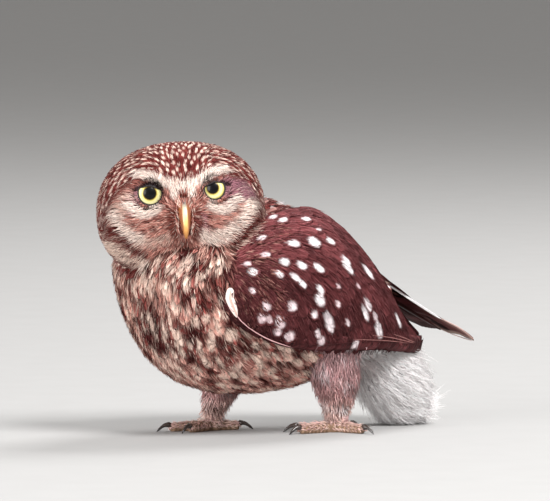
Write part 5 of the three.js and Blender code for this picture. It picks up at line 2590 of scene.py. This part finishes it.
    def _plain_coverts(self, rng: np.random.Generator) -> Plumes:
        """Rows of coverts over the whole sheet.

        Args:
            rng: where the random numbers come from.

        Returns:
            The coverts.
        """
        t, f = self._covert_roots(rng)
        count = len(t)
        length = 9 + 15 * smooth(0.0, 0.8, t) + rng.normal(0, 0.8, count)
        half = 2.4 + 2.0 * smooth(0.0, 0.8, t)
        ts, fs = self._run(t, f, length, COVERT, np.radians(rng.normal(0, 3, count)))
        plumes = self._plumes(ts, fs, COVERT, half, sink=1.2, lift=0.12)
        plumes.ragged = 0.7
        base = blend(Tint.WING, Tint.WING_DARK, rng.uniform(0.1, 0.6, count))
        plumes.colours = self._covert_colours(plumes, base * self._zones_and_painted_light(ts[:, 6], fs[:, 6])[:, None])
        plumes.cells = np.stack([t, f], 1)
        return plumes

    def _spotted_coverts(self, rng: np.random.Generator) -> Plumes:
        """One more covert for each spot, laid back from its tip.

        Args:
            rng: where the random numbers come from.

        Returns:
            The coverts.
        """
        t, f, reach, wide = (np.array([getattr(s, k) for s in SPOTS]) for k in ("t", "f", "length", "width"))
        along, down, _ = self.sheet.frame_at(t, f)
        slope = self._slope(t, f)
        step = reach + 1.2
        tip_t = t + np.cos(slope) * step / np.linalg.norm(along, axis=1)
        tip_f = f + np.sin(slope) * step / np.linalg.norm(down, axis=1)
        length = 9 + 13 * smooth(0.0, 0.8, t)
        ts, fs = self._run(tip_t, np.minimum(tip_f, 1.02), length, COVERT, 0 * t, back=True)
        width = np.maximum(wide * 1.55, 2.2 + 1.4 * smooth(0, 0.8, t))
        plumes = self._plumes(ts, fs, COVERT, width, sink=1.0, lift=0.3)
        plumes.ragged = 0.5
        base = blend(Tint.WING, Tint.WING_DARK, rng.uniform(0.3, 0.8, len(t)))
        plumes.colours = self._covert_colours(plumes, base)
        plumes.cells = np.stack([t, f], 1)
        return plumes

    def coverts(self, finish: bpy.types.Material) -> bpy.types.Object:
        """Rows of coverts, with one more for each spot, and strands over them.

        Args:
            finish: the finish that it takes.

        Returns:
            The new object.
        """
        rng = np.random.default_rng(self.seed)
        plain = self._plain_coverts(rng)
        spotted = self._spotted_coverts(rng)
        coat = Coat(f"coverts_{self.name}", 0.012, spotted, plain, self._strands())
        return coat.build(finish, "wing_plumage")

    def _quills(self, start: Array, end: Array, half: Array, sink: float, lift: Array) -> Plumes:
        """Long feathers between two lots of places on the sheet.

        Args:
            start: t and f of the roots.
            end: t and f of the tips.
            half: half of how wide they are.
            sink: how far the roots lie under the sheet.
            lift: how far the tips stand over it.

        Returns:
            The feathers.
        """
        s = np.array(QUILL.stations)[None]
        t = start[:, :1] * (1 - s) + end[:, :1] * s
        bend = s**1.3
        f = start[:, 1:] * (1 - bend) + end[:, 1:] * bend
        return self._plumes(t, f, QUILL, half, sink, lift)

    def _bars(self, plumes: Plumes, pitch: float, size: float, inner: float, tip: float) -> Array:
        """Dark flight feathers with rows of white spots on their webs and pale tips.

        Args:
            plumes: the plumes.
            pitch: how far apart the rows of spots are.
            size: half of a spot's length.
            inner: how strong the spots are on the inner web.
            tip: how strong the pale tip is.

        Returns:
            The colours, for each feather.
        """
        across, along = plumes.form.grid()
        length = np.linalg.norm(np.diff(plumes.centres, axis=1), axis=2).sum(1)[:, None]
        count = plumes.count
        base = blend(Tint.WING_DARK, Tint.WING, np.linspace(0.0, 0.6, count))
        out = np.repeat(base[:, None], len(across), 1) * fibres(plumes.form, count, 0.15)[..., None]
        place = along[None] * length
        phase = np.linspace(0, pitch, count)[:, None]
        near = np.abs((place + phase) % pitch - pitch / 2)
        web = np.where(across < 0, smooth(0.25, 0.6, -across), inner * smooth(0.4, 0.7, across))
        mask = (1 - smooth(size * 0.7, size * 1.3, near)) * web[None]
        mask = mask * smooth(0.3, 0.45, along)[None]
        out = blend(out, Tint.WHITE[None, None], mask * 0.85 * self.barred)
        rim = smooth(0.8, 1.0, np.abs(across)) * smooth(0.6, 0.9, along)
        edge = np.maximum(rim, smooth(0.93, 0.97, along))
        return blend(out, Tint.CREAM[None, None], tip * edge[None])

    def _trim(self, trim: Trim) -> Plumes:
        """A trim as one plume with fibres.

        Args:
            trim: what it looks like.

        Returns:
            The plume.
        """
        s = np.array(QUILL.stations) * (len(trim.line) - 1)
        t, f = (np.interp(s, np.arange(len(trim.line)), [p[k] for p in trim.line])[None] for k in (0, 1))
        made = self._plumes(t, f, QUILL, np.array([trim.half]), sink=0.0, lift=0.0)
        made.centres = self.sheet.place(t, f, np.full(t.shape, trim.height))
        if trim.upright:
            made.normals = np.cross(unit(np.gradient(made.centres, axis=1)), made.normals)
        tone = np.tile(linear(trim.tone), (1, len(QUILL.grid()[0]), 1))
        made.colours = tone * fibres(QUILL, 1, 0.12)[..., None]
        made.cells = np.stack([t[:, 0], f[:, 0]], 1)
        return made

    def _secondaries(self) -> Plumes:
        """The long feathers along the rear, the uppermost on top.

        Returns:
            The feathers.
        """
        i = np.linspace(0, 1, self.secondaries)
        start = np.stack([0.42 + 0.05 * i, 0.12 + 0.62 * i], 1)
        tip = np.stack([0.97 + 0.06 * (1 - i), 0.05 + 0.8 * i], 1)
        lift = -0.5 - 0.12 * np.arange(self.secondaries)[::-1]
        plumes = self._quills(start, tip, np.full(self.secondaries, 4.6), sink=1.4, lift=lift)
        plumes.colours = self._bars(plumes, pitch=9.0, size=1.5, inner=0.7, tip=0.6)
        plumes.cells = start
        return plumes

    def _primaries(self) -> Plumes:
        """The long feathers along the lower edge to the wing's tip.

        Returns:
            The feathers.
        """
        end = self.sheet.end
        i = np.linspace(0, 1, self.primaries)
        start = np.stack([0.16 + 0.14 * i, 0.93 - 0.1 * i], 1)
        tip = np.stack([end - 0.16 * (1 - i) * (end - 0.8), 0.84 - 0.56 * i], 1)
        lift = -0.35 - 0.1 * np.arange(self.primaries)
        plumes = self._quills(start, tip, np.full(self.primaries, 3.4), sink=0.9, lift=lift)
        plumes.colours = self._bars(plumes, pitch=7.0, size=1.2, inner=0.25, tip=0.35)
        plumes.cells = start
        return plumes

    def flight(self, finish: bpy.types.Material) -> bpy.types.Object:
        """Secondaries along the rear, primaries along the lower edge, and the trims.

        Args:
            finish: the finish that it takes.

        Returns:
            The new object.
        """
        trims = [self._trim(trim) for trim in self.trims]
        coat = Coat(f"flight_{self.name}", 0.04, self._secondaries(), self._primaries(), *trims)
        piece = coat.build(finish, "wing_plumage")
        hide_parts(f"wing_tip_{self.name}")
        return piece


@dataclass
class Tail:
    """The closed tail: a fan of long feathers in two halves."""

    root: tuple[float, float, float] = (-0.155, 18.13, 80.0)
    tip: tuple[float, float, float] = (1.845, 78.13, 46.0)
    feathers: int = 12
    fan_root: float = 5.0
    fan_tip: float = 9.0
    half_width: float = 5.6
    bar_reach: float = 70.0
    bar_pitch: float = 14.0

    def build(self, finish: bpy.types.Material) -> bpy.types.Object:
        """Lay the feathers from the outside in, the middle pair on top.

        Args:
            finish: the finish that it takes.

        Returns:
            The new object.
        """
        root, tip = np.array(self.root), np.array(self.tip)
        ahead = unit(tip - root)
        side = unit(np.cross([0, 0, 1.0], -ahead))
        up = np.cross(ahead, side)
        up = up * np.sign(up[2])
        s = np.array(QUILL.stations)
        centres, normals = [], []
        for k in range(self.feathers):
            u = (k + 0.5) / self.feathers * 2 - 1
            spread = (self.fan_root + (self.fan_tip - self.fan_root) * s) * u
            layer = 1.5 - 2.4 * abs(u) - 0.06 * k
            reach = 1.0 - 0.05 * u * u + 0.035
            line = root + np.outer(s * np.linalg.norm(tip - root) * reach, ahead)
            centres.append(line + np.outer(spread, side) + np.outer(layer * (1 - 0.4 * s), up))
            normals.append(np.tile(unit(up + side * 0.18 * u), (len(s), 1)))
        half_widths = np.full(self.feathers, self.half_width)
        plumes = Plumes(QUILL, np.array(centres), np.array(normals), half_widths)
        across, along = QUILL.grid()
        near = np.abs((along * self.bar_reach + 2) % self.bar_pitch - self.bar_pitch / 2)
        mask = (1 - smooth(1.0, 2.0, near)) * smooth(0.25, 0.5, along)
        mask = mask * (1 - smooth(0.75, 1.0, np.abs(across)))
        out = Tint.TAIL * fibres(QUILL, self.feathers, 0.15)[..., None]
        plumes.colours = blend(out, Tint.LEG_BROWN[None, None], mask[None] * 0.8)
        plumes.cells = np.stack([np.linspace(0, 1, self.feathers), np.zeros(self.feathers)], 1)
        piece = Coat("tail_fan", 0.1, plumes).build(finish, "wing_plumage")
        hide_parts("tail")
        return piece


# Eyes, bill and claws


@dataclass
class Eye:
    """One eye: the ball, the lids and the lids' small feathers; side is 1 for the bird's left."""

    side: int
    opening: float
    sight: tuple[float, float, float]
    pupil: float
    lid_gap: float = 0.12
    lid_thickness: float = 0.42
    brow_cut: float = 2.95
    inner_slope: float = 0.42
    outer_slope: float = -0.12
    lid_rings: int = 20
    lid_back: float = 100.0
    lash_rows: int = 7
    lashes_round: int = 84
    lash_reach: float = 7.6

    @property
    def name(self) -> str:
        """The side's name."""
        return "left" if self.side > 0 else "right"

    def _to_bird(self) -> Matrix:
        """From the eye's frame, with its pole looking out of the face, to the bird's."""
        turn = HEAD.matrix().to_4x4() @ Matrix.Rotation(math.radians(90 - HEAD.eye_tilt), 4, "X")
        return Matrix.Translation(HEAD.eye(self.side) * MM) @ turn

    def ball(self) -> bpy.types.Object:
        """The eyeball with its pole at the pupil.

        Returns:
            The new object.
        """
        bm = bmesh.new()
        bmesh.ops.create_uvsphere(bm, u_segments=48, v_segments=32, radius=HEAD.eye_radius * MM)
        bmesh.ops.transform(bm, matrix=self._to_bird(), verts=bm.verts)
        piece = finish_bmesh(bm, f"eyeball_{self.name}")
        sight = tuple(HEAD.matrix() @ Vector(self.sight).normalized())
        centre = tuple(HEAD.eye(self.side) * MM)
        finish = EyeFinish(f"wet_eye_{self.name}", centre, sight, self.pupil, self.opening + 0.9)
        piece.data.materials.append(finish.make())
        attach(piece, BODY)
        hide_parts(f"eye_{self.name}")
        return piece

    def _edge(self, turn: float) -> float:
        """How far the lid's edge is from the eye's middle at one place round the eye.

        Args:
            turn: the angle round the eye, in radians.

        Returns:
            The distance, in millimetres.
        """
        rise, across = math.sin(turn), math.cos(turn) * self.side
        slope = self.outer_slope if across > 0 else self.inner_slope
        limit = self.brow_cut / max(rise - slope * across, 0.05) if rise - slope * across > 0 else 99
        return min(self.opening, limit)

    def lids(self, finish: bpy.types.Material) -> bpy.types.Object:
        """The rim of skin round the opening, cut straight by the brow above.

        Args:
            finish: the finish that it takes.

        Returns:
            The new object.
        """
        bm = bmesh.new()
        radius = HEAD.eye_radius + self.lid_gap
        bmesh.ops.create_uvsphere(bm, u_segments=64, v_segments=self.lid_rings, radius=radius * MM)
        poles = [v for v in bm.verts if v.co.z > (radius - 0.01) * MM or v.co.z < -radius * 0.2 * MM]
        bmesh.ops.delete(bm, geom=poles, context="VERTS")
        first, back, r = math.pi / self.lid_rings, math.radians(self.lid_back), radius * MM
        for vert in bm.verts:
            turn = math.atan2(vert.co.y, vert.co.x)
            tilt = math.acos(max(-1, min(1, vert.co.z / r)))
            start = math.asin(self._edge(turn) / radius)
            tilt = start + (back - start) * max((tilt - first) / (back - first), 0) ** 1.2
            around = r * math.sin(tilt)
            vert.co = (around * math.cos(turn), around * math.sin(turn), r * math.cos(tilt))
        bmesh.ops.recalc_face_normals(bm, faces=bm.faces)
        bmesh.ops.solidify(bm, geom=bm.faces[:], thickness=-self.lid_thickness * MM)
        bmesh.ops.transform(bm, matrix=self._to_bird(), verts=bm.verts)
        bmesh.ops.recalc_face_normals(bm, faces=bm.faces)
        piece = finish_bmesh(bm, f"lids_{self.name}")
        piece.data.materials.append(finish)
        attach(piece, BODY)
        return piece

    def lashes(self) -> Plumes:
        """Tiny feathers over the lids, away from the opening.

        Returns:
            The feathers.
        """
        rng = np.random.default_rng(200 + self.side)
        turns, starts = [], []
        for row in range(self.lash_rows):
            for k in range(self.lashes_round):
                turn = (k + 0.5 * (row % 2) + rng.uniform(-0.3, 0.3)) / self.lashes_round * 2 * math.pi
                turns.append(turn)
                starts.append(self._edge(turn) + 0.5 + 0.55 * row + rng.uniform(-0.15, 0.15))
        turn, start = np.array(turns), np.array(starts)
        fits = start < self.lash_reach
        turn, start = turn[fits], start[fits]
        radius = HEAD.eye_radius + self.lid_gap + self.lid_thickness
        s = np.array(SPIKE.stations)
        tilt = np.arcsin(start / radius)[:, None] + s * rng.uniform(1.6, 2.3, len(turn))[:, None] / radius
        rise = radius - 0.1 + 0.75 * s
        turn = turn[:, None] + s * rng.normal(0, 0.08, len(turn))[:, None]
        ball = np.stack([np.sin(tilt) * np.cos(turn), np.sin(tilt) * np.sin(turn), np.cos(tilt)], -1)
        move = np.array(self._to_bird())
        normals = ball @ move[:3, :3].T
        centres = normals * rise[None, :, None] + move[:3, 3] / MM
        plumes = Plumes(SPIKE, centres, normals, rng.uniform(0.13, 0.21, len(turn)))
        tone = Markings.head(plumes.centres[:, 2]) * brightness(rng, len(turn), 0.15)
        plumes.colours = Pattern(base=tone, root_painted_shade=0.2).colours(SPIKE)
        plumes.cells = np.stack([turn[:, 0] + 20 * self.side, start], 1)
        return plumes


def finish_bmesh(bm: bmesh.types.BMesh, name: str, smooth_faces: bool = True) -> bpy.types.Object:
    """Turn a bmesh into a shown object at the origin.

    Args:
        bm: the mesh, which is used up.
        name: the new object's name.
        smooth_faces: whether its faces are shaded smooth.

    Returns:
        The new object.
    """
    mesh = bpy.data.meshes.new(name)
    bm.to_mesh(mesh)
    bm.free()
    mesh.polygons.foreach_set("use_smooth", np.full(len(mesh.polygons), smooth_faces))
    return new_object(name, mesh)


@dataclass
class Bill:
    """The hooked bill in two halves, pale along its ridge; its sides darker, golden-brown horn and painted
    shade.
    """

    ridge: float = 0.55
    side: float = 1.5

    def _finish(self, part: str) -> bpy.types.Material:
        """Horn that darkens away from the ridge, to golden brown and painted shade, with a grey cere at the
        top.

        Args:
            part: the node that it is for.

        Returns:
            The material.
        """
        start, end = HEAD.place((0, -26, 7)) * MM, HEAD.place((0, -29, -10)) * MM
        stops = (
            (0.0, (120, 108, 104)), (0.14, (176, 168, 146)), (0.3, (232, 222, 176)),
            (0.55, (236, 200, 124)), (0.8, (212, 152, 80)), (1.0, (164, 98, 48)),
        )
        material = HornFinish(f"{part}_finish", tuple(start), tuple(end), stops).make()
        tree = material.node_tree
        n, shader = Nodes(tree), tree.nodes["Principled BSDF"]
        ridge_colour = shader.inputs["Base Color"].links[0].from_socket
        aside = n.along(HEAD.place((0, 0, 0)) * MM, HEAD.matrix() @ Vector((1, 0, 0)))
        share = n.add("ShaderNodeMapRange", {
            "Value": n.math("ABSOLUTE", aside),
            "From Min": self.ridge * MM,
            "From Max": self.side * MM,
        }, interpolation_type="SMOOTHSTEP").outputs[0]
        # Golden-brown horn and painted shade down the bill's sides, in one colour
        side_brown_and_painted_shade = (*linear((150, 88, 48)), 1)
        n.feed(shader, {"Base Color": n.mix(share, ridge_colour, side_brown_and_painted_shade)})
        return material

    def build(self) -> list[bpy.types.Object]:
        """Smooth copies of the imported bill, dressed as horn.

        Returns:
            The new objects.
        """
        made = []
        for part in ("bill_upper", "bill_lower"):
            bm = node_copy([part])
            bmesh.ops.subdivide_edges(bm, edges=bm.edges[:], cuts=1, use_grid_fill=True, smooth=0.6)
            bmesh.ops.triangulate(bm, faces=bm.faces[:])
            soften(bm, bm.verts, 0.3, 2)
            piece = finish_bmesh(bm, f"{part}_horn")
            piece.data.materials.append(self._finish(part))
            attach(piece, BODY)
            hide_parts(part)
            made.append(piece)
        return made


@dataclass
class Claws:
    """The eight claws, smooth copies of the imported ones."""

    toes: tuple[str, ...] = ("hind", "inner", "middle", "outer")

    def build(self) -> bpy.types.Object:
        """One mesh for all the claws.

        Returns:
            The new object.
        """
        names = [f"claw_{side}_{toe}" for side in ("left", "right") for toe in self.toes]
        bm = node_copy(names)
        bmesh.ops.subdivide_edges(bm, edges=bm.edges[:], cuts=1, use_grid_fill=True, smooth=0.8)
        bmesh.ops.triangulate(bm, faces=bm.faces[:])
        piece = finish_bmesh(bm, "claws")
        stops = ((0.0, (24, 18, 18)), (1.0, (70, 56, 50)))
        finish = HornFinish("claw_horn", (0, 0, 0), (0, 0, 0.006), stops, roughness=0.25, coat=0.4)
        piece.data.materials.append(finish.make())
        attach(piece, BODY)
        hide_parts(*names)
        return piece


# The studio


def stand(data: bpy.types.Camera | bpy.types.Light, place: Vector, back: Vector) -> bpy.types.Object:
    """Put a camera or a lamp at a place, with the direction back behind it.

    Args:
        data: the camera's or the lamp's settings.
        place: where it stands, in metres.
        back: the direction that it turns its back to.

    Returns:
        The new object.
    """
    thing = bpy.data.objects.new(data.name, data)
    thing.location = place
    thing.rotation_mode = "QUATERNION"
    thing.rotation_quaternion = (-back).to_track_quat("-Z", "Y")
    bpy.context.scene.collection.objects.link(thing)
    return thing


@dataclass(frozen=True)
class Lamp:
    """A square lamp that looks at the bird; its size and reach are in metres."""

    name: str
    azimuth: float
    elevation: float
    size: float
    power: float
    reach: float = 2.4

    def build(self) -> None:
        """Set up the lamp, out of the camera's sight."""
        back = look_back(self.azimuth, self.elevation)
        data = bpy.data.lights.new(self.name, "AREA")
        data.size = self.size
        data.energy = self.power
        lamp = stand(data, Vector(PHOTO.aim) * MM + back * self.reach, back)
        lamp.visible_camera = False


@dataclass(frozen=True)
class Studio:
    """Camera, floor and soft lights."""

    floor_size: float = 30.0
    clip_end: float = 200.0
    lamps: tuple[Lamp, ...] = (
        Lamp("key", 92, 50, 1.0, 76.0), Lamp("fill", 14, 8, 1.6, 68.0), Lamp("rim", 205, 50, 1.0, 48.0),
    )

    def camera(self) -> None:
        """Set the camera at the photograph's angle and framing."""
        data = bpy.data.cameras.new("camera")
        data.lens = PHOTO.lens
        data.sensor_width = PHOTO.sensor
        data.clip_end = self.clip_end
        back = look_back(PHOTO.azimuth, PHOTO.elevation)
        bpy.context.scene.camera = stand(data, PHOTO.place * MM, back)

    def floor(self) -> None:
        """A plain pale floor that runs past the picture."""
        bm = bmesh.new()
        bmesh.ops.create_grid(bm, x_segments=4, y_segments=4, size=self.floor_size)
        piece = finish_bmesh(bm, "floor", False)
        material, n, shader = new_material("pale_floor")
        greys = ((0.3, (0.36, 0.355, 0.35)), (0.7, (0.37, 0.365, 0.36)))
        n.feed(shader, {"Base Color": n.ramp(n.noise(40.0, 2.0), greys), "Roughness": 0.9})
        piece.data.materials.append(material)

    def lights(self) -> None:
        """Even light from all round and the large lamps."""
        world = bpy.data.worlds.new("studio")
        world.use_nodes = True
        even = world.node_tree.nodes["Background"]
        even.inputs[0].default_value = (1.0, 0.98, 0.96, 1)
        even.inputs[1].default_value = 0.5
        bpy.context.scene.world = world
        for lamp in self.lamps:
            lamp.build()
        bpy.context.scene.view_settings.view_transform = "Standard"


def report(*pieces: bpy.types.Object) -> None:
    """Log the name of each piece and its number of triangles."""
    for piece in pieces:
        log.info("%s: %d triangles", piece.name, len(piece.data.loops) - 2 * len(piece.data.polygons))


def eyes(finish: bpy.types.Material) -> None:
    """Build the eyes, the lids and the lids' feathers, which take the finish.

    Args:
        finish: the finish of the lids' feathers.
    """
    skin = HornFinish(
        "lid_skin", tuple(HEAD.place((0, -24, 0)) * MM), tuple(HEAD.place((0, -24, 20)) * MM),
        stops=((0.0, (34, 20, 22)), (1.0, (20, 12, 14))), roughness=0.6, coat=0.0,
    ).make()
    lashes = []
    for eye in (
        Eye(side=1, opening=4.5, sight=(-0.13, -1, 0.17), pupil=2.7),
        Eye(side=-1, opening=5.25, sight=(-0.03, -1, 0.08), pupil=3.0),
    ):
        report(eye.ball(), eye.lids(skin))
        lashes.append(eye.lashes())
    report(Coat("coat_lids", 0.008, *lashes).build(finish, "plumage"))


def main() -> None:
    """Build the bird and its studio."""
    studio = Studio()
    studio.camera()
    studio.floor()
    studio.lights()
    finishes = Finishes.make()
    outline = Outline()
    report(Skin(outline).build(finishes.down))
    head = HeadCoat(outline)
    report(*head.crown(finishes.soft, finishes.hair), head.face(finishes.hair))
    body = BodyCoat(outline)
    report(body.breast(finishes.soft), body.belly(finishes.soft), body.back(finishes.soft))
    hind = HindCoat(outline)
    report(hind.undertail(finishes.hair), hind.legs(finishes.hair))
    for wing in (
        Wing("left", NEAR_WING, seed=101, trims=NEAR_TRIMS),
        Wing("right", FAR_WING, seed=111, trims=FAR_TRIMS, barred=False),
    ):
        report(wing.coverts(finishes.sleek), wing.flight(finishes.sleek))
    report(Tail().build(finishes.sleek))
    eyes(finishes.hair)
    report(*Bill().build(), Claws().build())


if __name__ == "__main__":
    main()
